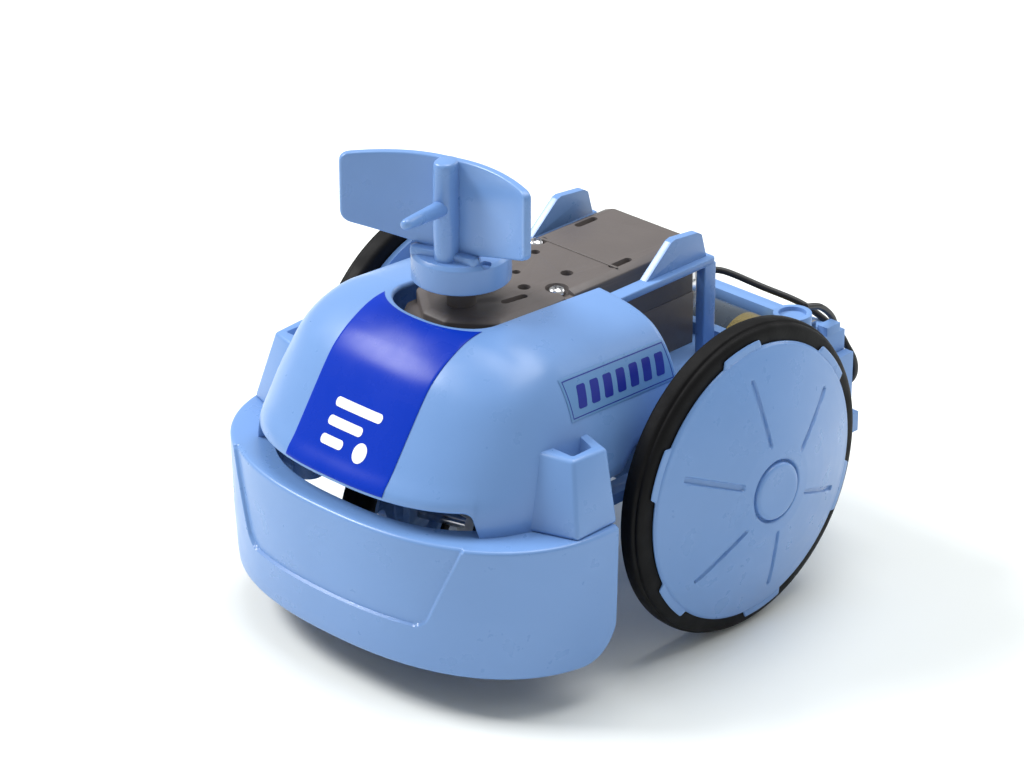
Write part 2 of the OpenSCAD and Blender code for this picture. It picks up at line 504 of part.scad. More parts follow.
// ---------- battery, switch and leads ----------
bat_y = 30; bat_z = 36.5;
module battery_holder() color(blue) at_axle() difference() {
    union() {
        translate([-30.8, 21.6, 24]) cube([61.6, 17.6, 19.2]);
        for (s = [-1, 1]) side(s) {
            translate([28.4, 34, 43]) cube([2.4, 3.8, 2]);
            translate([29.3, 25.6, 24]) cylinder(r = 3.6, h = 26.6);
        }
    }
    translate([0, bat_y, bat_z]) xcyl(7.4, -28, 28);
    translate([-28, bat_y - 6.2, bat_z]) cube([56, 12.4, 12]);
    for (s = [-1, 1]) side(s) {
        translate([29.3, 25.6, 49.8]) cylinder(r = 2.6, h = 2);
        translate([31.01, 20, 20]) cube([4, 20, 19.3]);
    }
    translate([-24, 20, 24]) cube([48, 20, 2.4]);
}
module battery_cell() color("#5C6068") at_axle() translate([0, bat_y, bat_z]) {
    xcyl(7.1, -24.2, 24.6);
    xcyl(2.7, 24.5, 26);
}
module battery_contacts() color(steel) at_axle() for (s = [-1, 1]) side(s) {
    translate([27.2, bat_y - 4.5, bat_z - 5]) cube([0.5, 9, 14]);
    translate([27.2, bat_y - 1.5, bat_z + 8.5]) cube([0.5, 3, 3.4]);
}
module battery_spring() color(steel) at_axle() translate([0, bat_y, bat_z])
    for (i = [0 : 3]) translate([-26.8 + i * 0.72, 0, 0]) rotate([0, 90, 0]) rotate_extrude() translate([3.6 - i * 0.45, 0]) circle(r = 0.3, $fn = 16);
module switch_base() color("#2A2B2E") at_axle() difference() {
    translate([-27, 6, 41]) cube([8, 12, 5]);
    translate([-25.2, 8, 42.2]) cube([4.4, 8, 3.2]);
    translate([-24.2, 9, 45]) cube([2.4, 6, 2]);
}
module switch_lever() color(white) at_axle() {
    translate([-25, 9.4, 42.5]) cube([4, 3.4, 2.4]);
    translate([-24, 10.2, 44.6]) cube([2, 1.8, 4]);
}
lead_r = 0.65;
blk = [[6.6, 27.3, 51.5], [9, 30, 52.5], [15, 33, 52], [22, 36.6, 49], [28, 39.9, 43], [30.6, 40.4, 39], [31.7, 41.1, 36.4],
    [31.8, 41.3, 33.8], [30.9, 41, 31.9], [29.2, 40.6, 31.6], [28, 40.4, 33.6], [27.6, 40.4, 38], [27.4, 39.9, 43.6], [27.4, 36, 47.6], [27.5, 31.4, 49.2]];
redw = [[-6.6, 27.3, 51.5], [-9, 29.4, 51], [-15.5, 28.4, 49], [-20.5, 24, 46], [-21.3, 21, 44.2], [-21.3, 19, 43.4]];
sww = [[-24.7, 19, 43.4], [-24.7, 21, 44.4], [-24.3, 23.6, 46.8], [-24, 27, 49.4], [-25.4, 29.6, 50.2], [-27, 30.4, 49.2]];
module motor_lead_black() color(rubber) at_axle() tube(smooth_path(blk, 5), lead_r, 8);
module motor_lead_red() color("#B0261F") at_axle() tube(smooth_path(redw, 5), lead_r, 8);
module switch_lead() color("#B0261F") at_axle() tube(smooth_path(sww, 5), lead_r, 8);

chassis();
front_bumper();
dome_cover();
stripe_decal();
side_label_left();
side_label_right();
gearbox_lower_case();
gearbox_upper_case();
case_screws();
tower_screws();
deck_screws();
gear_arbor();
motor_can();
motor_end_bell();
motor_terminals();
motor_pinion();
crown_gear();
second_gear();
third_gear();
output_gear();
drive_pinion();
spindle();
direction_cap();
direction_paddle();
swivel_frame();
drive_axle();
axle_crown_gear();
drive_hub_left();
drive_hub_right();
drive_tyre_left();
drive_tyre_right();
main_axle();
axle_collars();
wheel_disc_left();
wheel_disc_right();
wheel_back_left();
wheel_back_right();
tyre_left();
tyre_right();
battery_holder();
battery_cell();
battery_contacts();
battery_spring();
switch_base();
switch_lever();
motor_lead_black();
motor_lead_red();
switch_lead();
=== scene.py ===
import json, math
import bpy, bmesh
import numpy as np
from mathutils import Vector, Matrix


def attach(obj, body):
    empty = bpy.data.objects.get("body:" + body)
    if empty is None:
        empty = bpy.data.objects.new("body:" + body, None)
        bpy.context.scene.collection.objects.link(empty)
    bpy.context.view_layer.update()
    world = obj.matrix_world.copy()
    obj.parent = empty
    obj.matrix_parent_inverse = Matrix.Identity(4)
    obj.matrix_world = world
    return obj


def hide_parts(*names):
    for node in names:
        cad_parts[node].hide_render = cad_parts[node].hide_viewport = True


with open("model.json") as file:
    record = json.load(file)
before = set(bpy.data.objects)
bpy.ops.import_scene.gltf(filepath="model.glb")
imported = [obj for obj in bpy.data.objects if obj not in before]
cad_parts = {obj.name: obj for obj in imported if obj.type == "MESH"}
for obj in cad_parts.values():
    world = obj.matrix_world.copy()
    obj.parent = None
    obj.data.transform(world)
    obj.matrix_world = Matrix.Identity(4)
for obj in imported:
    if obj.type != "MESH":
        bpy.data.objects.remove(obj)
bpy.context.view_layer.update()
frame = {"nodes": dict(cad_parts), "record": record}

AY = 12.25          # the main axle is this far behind the origin, mm
SWY = -31.2         # swivel axis, from the main axle
YAW = math.radians(15)
PADY = -3.4
nodes = frame["nodes"]


# ------------------------------------------------------------------ mesh tools
def place(v, where="axle"):
    """mm in the axle frame (or in the drive unit's own frame) to metres in the row frame"""
    x, y, z = v
    if where == "swivel":
        c, s = math.cos(YAW), math.sin(YAW)
        x, y = x * c - y * s, x * s + y * c + SWY
    return (x * 0.001, (y + AY) * 0.001, z * 0.001)


def mesh_object(name, verts, faces, mats, where="axle", smooth=True, face_mats=None, sharp=None):
    me = bpy.data.meshes.new(name)
    me.from_pydata([place(v, where) for v in verts], [], faces)
    me.validate()
    ob = bpy.data.objects.new(name, me)
    bpy.context.scene.collection.objects.link(ob)
    for m in mats:
        me.materials.append(m)
    if face_mats is not None:
        me.polygons.foreach_set("material_index", face_mats)
    finish_mesh(ob, smooth, sharp)
    return ob


def finish_mesh(ob, smooth=True, sharp=None):
    bm = bmesh.new()
    bm.from_mesh(ob.data)
    bmesh.ops.recalc_face_normals(bm, faces=bm.faces)
    for f in bm.faces:
        f.smooth = smooth
    if sharp is not None:
        for e in bm.edges:
            if len(e.link_faces) == 2 and e.calc_face_angle(0) > math.radians(sharp):
                e.smooth = False
    bm.to_mesh(ob.data)
    bm.free()


def apply_all(ob):
    dg = bpy.context.evaluated_depsgraph_get()
    dg.update()
    me = bpy.data.meshes.new_from_object(ob.evaluated_get(dg), depsgraph=dg)
    old = ob.data
    ob.modifiers.clear()
    ob.data = me
    bpy.data.meshes.remove(old)


def bevel(ob, w, seg=2, angle=30, harden=True):
    m = ob.modifiers.new("b", "BEVEL")
    m.width = w * 0.001
    m.segments = seg
    m.limit_method = "ANGLE"
    m.angle_limit = math.radians(angle)
    m.harden_normals = False
    m.miter_outer = "MITER_ARC"
    apply_all(ob)


def boolean(ob, cutter, op="DIFFERENCE", remove=True):
    m = ob.modifiers.new("c", "BOOLEAN")
    m.operation = op
    m.solver = "EXACT"
    m.object = cutter
    bpy.context.view_layer.update()
    apply_all(ob)
    if remove:
        bpy.data.objects.remove(cutter)


def join(obs, name):
    """one object from several; material slots are merged by name"""
    mats, verts, faces, fm, sm = [], [], [], [], []
    for o in obs:
        me = o.data
        base = len(verts)
        verts += [tuple(v.co) for v in me.vertices]
        idx = []
        for m in me.materials:
            if m not in mats:
                mats.append(m)
            idx.append(mats.index(m))
        for p in me.polygons:
            faces.append([base + i for i in p.vertices])
            fm.append(idx[p.material_index] if idx else 0)
            sm.append(p.use_smooth)
    me = bpy.data.meshes.new(name)
    me.from_pydata(verts, [], faces)
    for m in mats:
        me.materials.append(m)
    me.polygons.foreach_set("material_index", fm)
    me.polygons.foreach_set("use_smooth", sm)
    ob = bpy.data.objects.new(name, me)
    bpy.context.scene.collection.objects.link(ob)
    # keep sharp edges
    sharp = set()
    base = 0
    for o in obs:
        for e in o.data.edges:
            if e.use_edge_sharp:
                a, b = e.vertices
                sharp.add((min(a, b) + base, max(a, b) + base))
        base += len(o.data.vertices)
    for e in me.edges:
        a, b = e.vertices
        if (min(a, b), max(a, b)) in sharp:
            e.use_edge_sharp = True
    for o in obs:
        bpy.data.objects.remove(o)
    return ob


def loft(name, rings, mats, where="axle", closed=True, caps=True, loop=False, sharp=None, smooth=True):
    """rings: equal lists of points. closed: each ring is a closed loop. loop: last ring joins the first."""
    n, m = len(rings), len(rings[0])
    verts = [p for r in rings for p in r]
    faces = []
    for i in range(n if loop else n - 1):
        a, b = i * m, ((i + 1) % n) * m
        for j in range(m if closed else m - 1):
            k = (j + 1) % m
            faces.append((a + j, a + k, b + k, b + j))
    if caps and not loop and closed:
        faces.append(tuple(range(m)))
        faces.append(tuple((n - 1) * m + j for j in reversed(range(m))))
    return mesh_object(name, verts, faces, mats, where, smooth, sharp=sharp)


def arc(cx, cy, r, a0, a1, n):
    return [(cx + r * math.cos(math.radians(a0 + (a1 - a0) * i / n)), cy + r * math.sin(math.radians(a0 + (a1 - a0) * i / n))) for i in range(n + 1)]


def rounded(poly, radii, n=5):
    """2D polygon with its corners rounded"""
    out = []
    m = len(poly)
    if not isinstance(radii, (list, tuple)):
        radii = [radii] * m
    for i in range(m):
        p0, p1, p2 = (np.array(poly[(i + k) % m], float) for k in (-1, 0, 1))
        r = radii[i]
        if r <= 0:
            out.append(tuple(p1))
            continue
        a, b = p0 - p1, p2 - p1
        la, lb = np.linalg.norm(a), np.linalg.norm(b)
        a, b = a / la, b / lb
        ang = math.acos(max(-1, min(1, float(a @ b))))
        t = min(r / math.tan(ang / 2), la * 0.49, lb * 0.49)
        rr = t * math.tan(ang / 2)
        c = p1 + (a + b) / np.linalg.norm(a + b) * (rr / math.sin(ang / 2))
        s, e = p1 + a * t - c, p1 + b * t - c
        for k in range(n + 1):
            v = s * (1 - k / n) + e * k / n
            nv = np.linalg.norm(v)
            out.append(tuple(c + v / nv * rr if nv > 1e-9 else p1))
    return out


def lathe(name, prof, mats, origin=(0, 0, 0), axis="x", seg=128, where="axle", close=True, sharp=30, wob=None):
    """prof: (radius, height along the axis) pairs; a closed ring of profile if close"""
    rings = []
    for i in range(seg):
        t = 2 * math.pi * i / seg
        ring = []
        for r, h in prof:
            if wob:
                r, h = wob(r, h, t)
            a, b = r * math.cos(t), r * math.sin(t)
            if axis == "x":
                p = (h, a, b)
            elif axis == "y":
                p = (b, h, a)
            else:
                p = (a, b, h)
            ring.append((p[0] + origin[0], p[1] + origin[1], p[2] + origin[2]))
        rings.append(ring)
    ob = loft(name, rings, mats, where, closed=close, caps=False, loop=True, smooth=True)
    clean_axis(ob)
    if sharp:
        finish_mesh(ob, True, sharp)
    return ob


def clean_axis(ob):
    bm = bmesh.new()
    bm.from_mesh(ob.data)
    bmesh.ops.remove_doubles(bm, verts=bm.verts, dist=1e-7)
    bmesh.ops.dissolve_degenerate(bm, dist=1e-8, edges=bm.edges)
    bmesh.ops.recalc_face_normals(bm, faces=bm.faces)
    bm.to_mesh(ob.data)
    bm.free()


def prism(name, poly, z0, z1, mats, plane="xy", where="axle", smooth=False):
    """extrude a polygon; plane xy is raised along z, xz along y, yz along x"""
    def pt(u, v, w):
        return {"xy": (u, v, w), "xz": (u, w, v), "yz": (w, u, v)}[plane]
    n = len(poly)
    verts = [pt(u, v, z0) for u, v in poly] + [pt(u, v, z1) for u, v in poly]
    faces = [tuple(range(n)), tuple(range(2 * n - 1, n - 1, -1))]
    faces += [(i, (i + 1) % n, n + (i + 1) % n, n + i) for i in range(n)]
    return mesh_object(name, verts, faces, mats, where, smooth)


def boxy(name, lo, hi, mats, where="axle"):
    return prism(name, [(lo[0], lo[1]), (hi[0], lo[1]), (hi[0], hi[1]), (lo[0], hi[1])], lo[2], hi[2], mats, "xy", where)


def mirror_x(ob, name):
    me = ob.data.copy()
    me.transform(Matrix.Scale(-1, 4, (1, 0, 0)))
    me.flip_normals()
    o = bpy.data.objects.new(name, me)
    bpy.context.scene.collection.objects.link(o)
    return o


def softened(node, w, seg=2, angle=35, name=None, mats=None):
    """a copy of a CAD node with its flat faces merged and its edges rounded"""
    src = nodes[node]
    me = src.data.copy()
    ob = bpy.data.objects.new(name or node + "_finish", me)
    bpy.context.scene.collection.objects.link(ob)
    bm = bmesh.new()
    bm.from_mesh(me)
    bmesh.ops.remove_doubles(bm, verts=bm.verts, dist=2e-6)
    bmesh.ops.dissolve_limit(bm, angle_limit=math.radians(1.0), verts=bm.verts, edges=bm.edges)
    bmesh.ops.recalc_face_normals(bm, faces=bm.faces)
    bm.to_mesh(me)
    bm.free()
    if mats:
        me.materials.clear()
        for m in mats:
            me.materials.append(m)
    if w > 0:
        bevel(ob, w, seg, angle)
    for p in ob.data.polygons:
        p.use_smooth = True
    bm = bmesh.new()
    bm.from_mesh(ob.data)
    for e in bm.edges:
        e.smooth = not (len(e.link_faces) == 2 and e.calc_face_angle(0) > math.radians(40))
    bm.to_mesh(ob.data)
    bm.free()
    return ob


def sstep(a, b, x):
    t = np.clip((x - a) / (b - a), 0, 1)
    return t * t * (3 - 2 * t)


# ------------------------------------------------------------------ materials
def new_mat(name, color, rough, spec=0.5, metal=0.0, coat=0.0, coat_rough=0.1, sub=0.0):
    m = bpy.data.materials.new(name)
    m.use_nodes = True
    b = m.node_tree.nodes["Principled BSDF"]
    b.inputs["Base Color"].default_value = (*color, 1)
    b.inputs["Roughness"].default_value = rough
    b.inputs["Metallic"].default_value = metal
    b.inputs["Specular IOR Level"].default_value = spec
    b.inputs["Coat Weight"].default_value = coat
    b.inputs["Coat Roughness"].default_value = coat_rough
    if sub > 0:
        b.inputs["Subsurface Weight"].default_value = sub
        b.inputs["Subsurface Radius"].default_value = (0.6, 0.8, 1.0)
        b.inputs["Subsurface Scale"].default_value = 0.0006
    return m, m.node_tree, b


def nd(nt, kind, **k):
    n = nt.nodes.new(kind)
    for a, v in k.items():
        setattr(n, a, v)
    return n


def add_detail(m, nt, b, color, vary=0.06, rough=(0.3, 0.42), grain=(9000, 0.02), grain_dist=0.00002, swirl=(60, 0.06), dust=0.0, dust_col=(0.8, 0.8, 0.8)):
    """colour drift, roughness drift, moulded grain"""
    tc = nd(nt, "ShaderNodeTexCoord")
    n1 = nd(nt, "ShaderNodeTexNoise")
    n1.inputs["Scale"].default_value = swirl[0]
    n1.inputs["Detail"].default_value = 6
    nt.links.new(tc.outputs["Object"], n1.inputs["Vector"])
    ramp = nd(nt, "ShaderNodeValToRGB")
    c = np.array(color)
    ramp.color_ramp.elements[0].position = 0.3
    ramp.color_ramp.elements[1].position = 0.7
    ramp.color_ramp.elements[0].color = (*np.clip(c * (1 - vary), 0, 1), 1)
    ramp.color_ramp.elements[1].color = (*np.clip(c * (1 + vary), 0, 1), 1)
    nt.links.new(n1.outputs["Fac"], ramp.inputs["Fac"])
    col = ramp.outputs["Color"]
    if dust > 0:
        n4 = nd(nt, "ShaderNodeTexNoise")
        n4.inputs["Scale"].default_value = 2600
        n4.inputs["Detail"].default_value = 2
        nt.links.new(tc.outputs["Object"], n4.inputs["Vector"])
        r4 = nd(nt, "ShaderNodeValToRGB")
        r4.color_ramp.elements[0].position = 0.72
        r4.color_ramp.elements[1].position = 0.80
        r4.color_ramp.elements[0].color = (0, 0, 0, 1)
        r4.color_ramp.elements[1].color = (dust, dust, dust, 1)
        nt.links.new(n4.outputs["Fac"], r4.inputs["Fac"])
        mx = nd(nt, "ShaderNodeMix", data_type="RGBA")
        nt.links.new(r4.outputs["Color"], mx.inputs[0])
        nt.links.new(col, mx.inputs[6])
        mx.inputs[7].default_value = (*dust_col, 1)
        col = mx.outputs[2]
    nt.links.new(col, b.inputs["Base Color"])
    n2 = nd(nt, "ShaderNodeTexNoise")
    n2.inputs["Scale"].default_value = 220
    n2.inputs["Detail"].default_value = 5
    nt.links.new(tc.outputs["Object"], n2.inputs["Vector"])
    mr = nd(nt, "ShaderNodeMapRange")
    mr.inputs["From Min"].default_value = 0.3
    mr.inputs["From Max"].default_value = 0.7
    mr.inputs["To Min"].default_value = rough[0]
    mr.inputs["To Max"].default_value = rough[1]
    nt.links.new(n2.outputs["Fac"], mr.inputs["Value"])
    nt.links.new(mr.outputs["Result"], b.inputs["Roughness"])
    n3 = nd(nt, "ShaderNodeTexNoise")
    n3.inputs["Scale"].default_value = grain[0]
    n3.inputs["Detail"].default_value = 3
    nt.links.new(tc.outputs["Object"], n3.inputs["Vector"])
    bp = nd(nt, "ShaderNodeBump")
    bp.inputs["Strength"].default_value = grain[1]
    bp.inputs["Distance"].default_value = grain_dist
    nt.links.new(n3.outputs["Fac"], bp.inputs["Height"])
    nt.links.new(bp.outputs["Normal"], b.inputs["Normal"])
    return tc


BLUE = (0.150, 0.286, 0.575)
m_blue, nt, b = new_mat("light_blue_plastic", BLUE, 0.3, 0.5)
add_detail(m_blue, nt, b, BLUE, 0.02, (0.26, 0.34), (5200, 0.10), 0.00002, (45, 0.05))
m_blue_in, nt, b = new_mat("light_blue_plastic_inside", BLUE, 0.45, 0.45)
add_detail(m_blue_in, nt, b, BLUE, 0.04, (0.42, 0.52), (5200, 0.14), 0.00002, (45, 0.05))
DEEP = (0.0015, 0.030, 0.40)
m_stripe, nt, b = new_mat("deep_blue_film", DEEP, 0.28, 0.16)
add_detail(m_stripe, nt, b, DEEP, 0.03, (0.24, 0.31), (1500, 0.06), 0.00002, (30, 0.05))
m_white, nt, b = new_mat("white_print", (0.86, 0.87, 0.88), 0.32)
add_detail(m_white, nt, b, (0.86, 0.87, 0.88), 0.015, (0.28, 0.34), (1500, 0.06), 0.00002)
LAB = (0.105, 0.235, 0.47)
m_label, nt, b = new_mat("blue_label_film", LAB, 0.30, 0.5)
add_detail(m_label, nt, b, LAB, 0.03, (0.26, 0.33), (1500, 0.05), 0.00002)
m_mark, nt, b = new_mat("label_print", (0.008, 0.018, 0.24), 0.3)
add_detail(m_mark, nt, b, (0.008, 0.018, 0.24), 0.05, (0.27, 0.34), (1500, 0.05), 0.00002)
GREY = (0.108, 0.094, 0.090)
m_grey, nt, b = new_mat("warm_grey_plastic", GREY, 0.5, 0.4)
add_detail(m_grey, nt, b, GREY, 0.05, (0.42, 0.56), (2600, 0.35), 0.00004, (90, 0.06))
RUB = (0.0022, 0.0021, 0.0027)
m_rubber, nt, b = new_mat("black_rubber", RUB, 0.6, 0.16)
tc = add_detail(m_rubber, nt, b, RUB, 0.25, (0.5, 0.68), (1500, 0.5), 0.00006, (300, 0.2), dust=0.05, dust_col=(0.05, 0.05, 0.05))
STEEL = (0.62, 0.62, 0.64)
m_steel, nt, b = new_mat("plated_steel", STEEL, 0.2, 0.5, metal=1.0)
add_detail(m_steel, nt, b, STEEL, 0.05, (0.14, 0.26), (3000, 0.12), 0.00002, (200, 0.1))
m_nylon, nt, b = new_mat("white_nylon", (0.74, 0.73, 0.69), 0.42, 0.5, sub=0.25)
add_detail(m_nylon, nt, b, (0.74, 0.73, 0.69), 0.03, (0.38, 0.48), (3000, 0.15), 0.00003, (120, 0.05))
m_brass, nt, b = new_mat("brass_metal", (0.68, 0.50, 0.22), 0.25, 0.5, metal=1.0)
add_detail(m_brass, nt, b, (0.68, 0.50, 0.22), 0.06, (0.2, 0.32), (3000, 0.12), 0.00002, (200, 0.1))
m_blackp, nt, b = new_mat("black_moulded_plastic", (0.018, 0.018, 0.02), 0.4, 0.5)
add_detail(m_blackp, nt, b, (0.018, 0.018, 0.02), 0.2, (0.36, 0.48), (2600, 0.3), 0.00003)
m_cell, nt, b = new_mat("cell_sleeve_film", (0.05, 0.07, 0.10), 0.3, 0.5)
add_detail(m_cell, nt, b, (0.05, 0.07, 0.10), 0.1, (0.24, 0.34), (900, 0.1), 0.00002)
m_gold, nt, b = new_mat("cell_band_film", (0.45, 0.36, 0.16), 0.28, 0.5, metal=0.8)
add_detail(m_gold, nt, b, (0.45, 0.36, 0.16), 0.06, (0.24, 0.34), (900, 0.1), 0.00002)
m_leadb, nt, b = new_mat("black_vinyl_lead", (0.012, 0.012, 0.013), 0.38, 0.5)
add_detail(m_leadb, nt, b, (0.012, 0.012, 0.013), 0.2, (0.34, 0.44), (2600, 0.2), 0.00002)
m_leadr, nt, b = new_mat("red_vinyl_lead", (0.42, 0.012, 0.010), 0.38, 0.5)
add_detail(m_leadr, nt, b, (0.42, 0.012, 0.010), 0.08, (0.34, 0.44), (2600, 0.2), 0.00002)

# ------------------------------------------------------------------ cover surfaces
COV = np.array([[34, 34.3, 30.6], [39, 33.7, 30.2], [42.5, 33.2, 27.7], [46, 32.6, 25.3], [50, 31.4, 22.6], [53.5, 30.1, 20.2],
                [56.5, 28.4, 17.9], [58.8, 26.4, 15.4], [60.4, 24, 13], [61.6, 20.6, 10.9], [62.3, 16.8, 9.4], [62.7, 12.5, 8.3]])
CY, CB = -34.0, -8.0


def catmull(tab, t):
    """smooth interpolation of table rows at position t in [0, len-1]"""
    i = int(min(max(math.floor(t), 0), len(tab) - 2))
    f = t - i
    p0, p1, p2, p3 = tab[max(i - 1, 0)], tab[i], tab[i + 1], tab[min(i + 2, len(tab) - 1)]
    if i == 0:
        p0 = 2 * p1 - p2
    if i == len(tab) - 2:
        p3 = 2 * p2 - p1
    return 0.5 * (2 * p1 + (p2 - p0) * f + (2 * p0 - 5 * p1 + 4 * p2 - p3) * f * f + (3 * p1 - p0 - 3 * p2 + p3) * f ** 3)


def cov_par(z):
    """parameter t along the profile whose height is z"""
    lo, hi = 0.0, len(COV) - 1.0
    for _ in range(40):
        mid = (lo + hi) / 2
        if catmull(COV, mid)[0] < z:
            lo = mid
        else:
            hi = mid
    return (lo + hi) / 2


def cov_n(z):
    return 2.6 - 0.5 * float(sstep(54.5, 62.7, z))


def cov_drop(z, y):
    if y <= CY:
        return 0.0
    return 1.3 * (z - 34) / 28.7 * (y - CY) / (CB - CY)


def spow(v, e):
    return math.copysign(abs(v) ** e, v)


def cov_point(t, s):
    """s in [-1, 1] runs from the back right corner (+x) round the front to the back left one"""
    z, a, bb = catmull(COV, t)
    n = cov_n(z)
    u = abs(s)
    k = 0.33
    if u > 1 - k:      # straight side
        f = (u - (1 - k)) / k
        y = CY + (CB - CY) * f
        x = a
        zz = z - cov_drop(z, y)
    else:
        ang = (1 - u / (1 - k)) * 90.0
        ang = math.radians(90 - (90 - ang))
        # even spacing round the corner
        x = a * spow(math.cos(ang), 2 / n)
        y = CY - bb * spow(math.sin(ang), 2 / n)
        zz = z
    return (-x if s > 0 else x, y, zz)


def cov_frame(t, s):
    e = 1e-3
    p = np.array(cov_point(t, s))
    t0, t1 = max(t - e, 0), min(t + e, len(COV) - 1)
    s0, s1 = max(s - e, -1), min(s + e, 1)
    du = np.array(cov_point(t1, s)) - np.array(cov_point(t0, s))
    dv = np.array(cov_point(t, s1)) - np.array(cov_point(t, s0))
    n = np.cross(dv, du)
    n /= np.linalg.norm(n)
    ref = np.array([p[0], (p[1] - CY) if p[1] < CY else 0.0, 8.0])
    if n @ ref < 0:
        n = -n
    return p, n


# columns round the cover, spaced by arc length at the lower edge
def even_columns(fun, n, extra=()):
    ss = np.linspace(-1, 1, 1601)
    P = np.array([fun(s) for s in ss])
    L = np.concatenate([[0], np.cumsum(np.linalg.norm(np.diff(P, axis=0), axis=1))])
    return np.interp(np.linspace(0, L[-1], n), L, ss)


def cover_low(x, y):
    """height of the cover's lower edge at a plan position"""
    ax = abs(x)
    if y < -50:
        # slot over the bumper ledge, with a rounded corner at the foot
        return (34 + 3.6 * float(sstep(27.75, 27.2, ax)) + 1.4 * math.sqrt(max(0.0, 1 - min(1.0, max(0.0, ax - 25.8) / 1.4) ** 2)) * float(sstep(27.4, 27.19, ax))) if ax > 20 else 39.0
    if y < -34.5:
        return 34.0
    z = 38.0 if y < -33.9 else 38.0
    z = 34 + 4 * float(sstep(-34.6, -33.9, y))
    if y > -26:
        z = 38 + 4 * float(sstep(-26, -20.5, y))
    return z


def make_cover():
    T = len(COV) - 1.0
    cols = list(even_columns(lambda s: cov_point(1.0, s), 300))
    cols = sorted(set([round(c, 5) for c in cols]))
    cols = [-1.0, -0.9985] + [c for c in cols if -0.997 < c < 0.997] + [0.9985, 1.0]
    rings = []
    for s in cols:
        p = cov_point(1.0, s)
        zl = cover_low(p[0], p[1])
        # iterate: the lower edge's plan position depends on its height
        t0 = cov_par(zl + (cov_drop(zl, p[1])))
        edge = 1.0 if -0.998 < s < 0.998 else 0.55
        th = 1.7 * edge
        ts = [t0 + (T - t0) * (1 - math.cos(math.pi * i / 2 / 26) * 1.0) if False else t0 + (T - t0) * i / 26 for i in range(27)]
        outer, inner = [], []
        for t in ts:
            q, n = cov_frame(t, s)
            off = 0.0 if edge == 1.0 else -0.35
            outer.append(q + n * off)
            thk = th * (1 - 0.25 * (t / T) ** 4)
            qi = q - n * (thk + (0.35 if edge < 1 else 0)) if edge < 1 else q - n * thk
            inner.append(qi)
        # rounded lips at the lower edge and at the rim
        def lip(a, bq, out_dir, n=5):
            a, bq = np.array(a), np.array(bq)
            c = (a + bq) / 2
            h = (a - bq) / 2
            r = np.linalg.norm(h)
            res = []
            for k in range(1, n):
                f = math.pi * k / n
                res.append(c + h * math.cos(f) + out_dir * min(r, 0.5) * math.sin(f))
            return res
        dn = outer[0] - outer[1]
        dn /= np.linalg.norm(dn)
        up = outer[-1] - outer[-2]
        up /= np.linalg.norm(up)
        # vertical inner wall at the rim
        lipt = lip(outer[-1], inner[-1], up, 6)
        lipb = lip(inner[0], outer[0], dn, 5)
        ring = outer + lipt + inner[::-1] + lipb
        rings.append([tuple(v) for v in ring])
    return loft("cover_shell", rings, [m_blue], closed=True, caps=True, sharp=50)


def tower(sgn):
    base = [(28.6, -48.9), (41.3, -44.4), (41.3, -34.3), (28.6, -31.5)]
    top = [(27.6, -44.3), (37.8, -42.0), (38.6, -34.2), (28.0, -30.9)]
    v = [(x * sgn, y, 34.0) for x, y in base] + [(x * sgn, y, 47.5) for x, y in top]
    f = [(0, 1, 2, 3), (7, 6, 5, 4), (0, 4, 5, 1), (1, 5, 6, 2), (2, 6, 7, 3), (3, 7, 4, 0)]
    ob = mesh_object("tower", v, f, [m_blue], smooth=False)
    bevel(ob, 0.7, 4, 20)
    cut_b = [(31.6, -40.2), (36.0, -40.2), (36.0, -36.4), (31.6, -34.8)]
    cut_t = [(30.9, -40.7), (36.4, -40.7), (36.4, -35.6), (31.1, -33.6)]
    rb, rt = rounded(cut_b, 0.5, 4), rounded(cut_t, 0.5, 4)
    n = len(rb)
    vv = [(x * sgn, y, 44.0) for x, y in rb] + [(x * sgn, y, 48.6) for x, y in rt]
    ff = [tuple(range(n)), tuple(range(2 * n - 1, n - 1, -1))] + [(i, (i + 1) % n, n + (i + 1) % n, n + i) for i in range(n)]
    c = mesh_object("c", vv, ff, [m_blue], smooth=False)
    boolean(ob, c)
    bevel(ob, 0.16, 2, 40)
    finish_mesh(ob, True, 30)
    return ob


def arm(sgn):
    x0, x1 = 13.4, 16.6
    a = prism("a", rounded([(x0, -9.5), (x1, -9.5), (x1, 18.6), (x0, 18.6)], [0.3, 0.3, 0.9, 0.3]), 58.8, 60.2, [m_blue])
    fin = prism("f", rounded([(0.4, 59.6), (7.8, 65.9), (8.8, 66.2), (15, 65.6), (16.1, 64.9), (17.6, 59.6)], [0.1, 0.8, 0.6, 0.8, 0.6, 0.1]), 13.5, 15.1, [m_blue], "yz")
    leg = boxy("l", (14.4, 15.4, 41), (16.6, 18.6, 59.2), [m_blue])
    for o, w in ((a, 0.28), (fin, 0.32), (leg, 0.3)):
        bevel(o, w, 3, 40)
        finish_mesh(o, True, 35)
    ob = join([a, fin, leg], "arm")
    if sgn < 0:
        o2 = mirror_x(ob, "arm_l")
        bpy.data.objects.remove(ob)
        ob = o2
    return ob


cover = join([make_cover(), tower(1), tower(-1), arm(1), arm(-1)], "dome_cover_shell")
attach(cover, "chassis")
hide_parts("dome_cover")


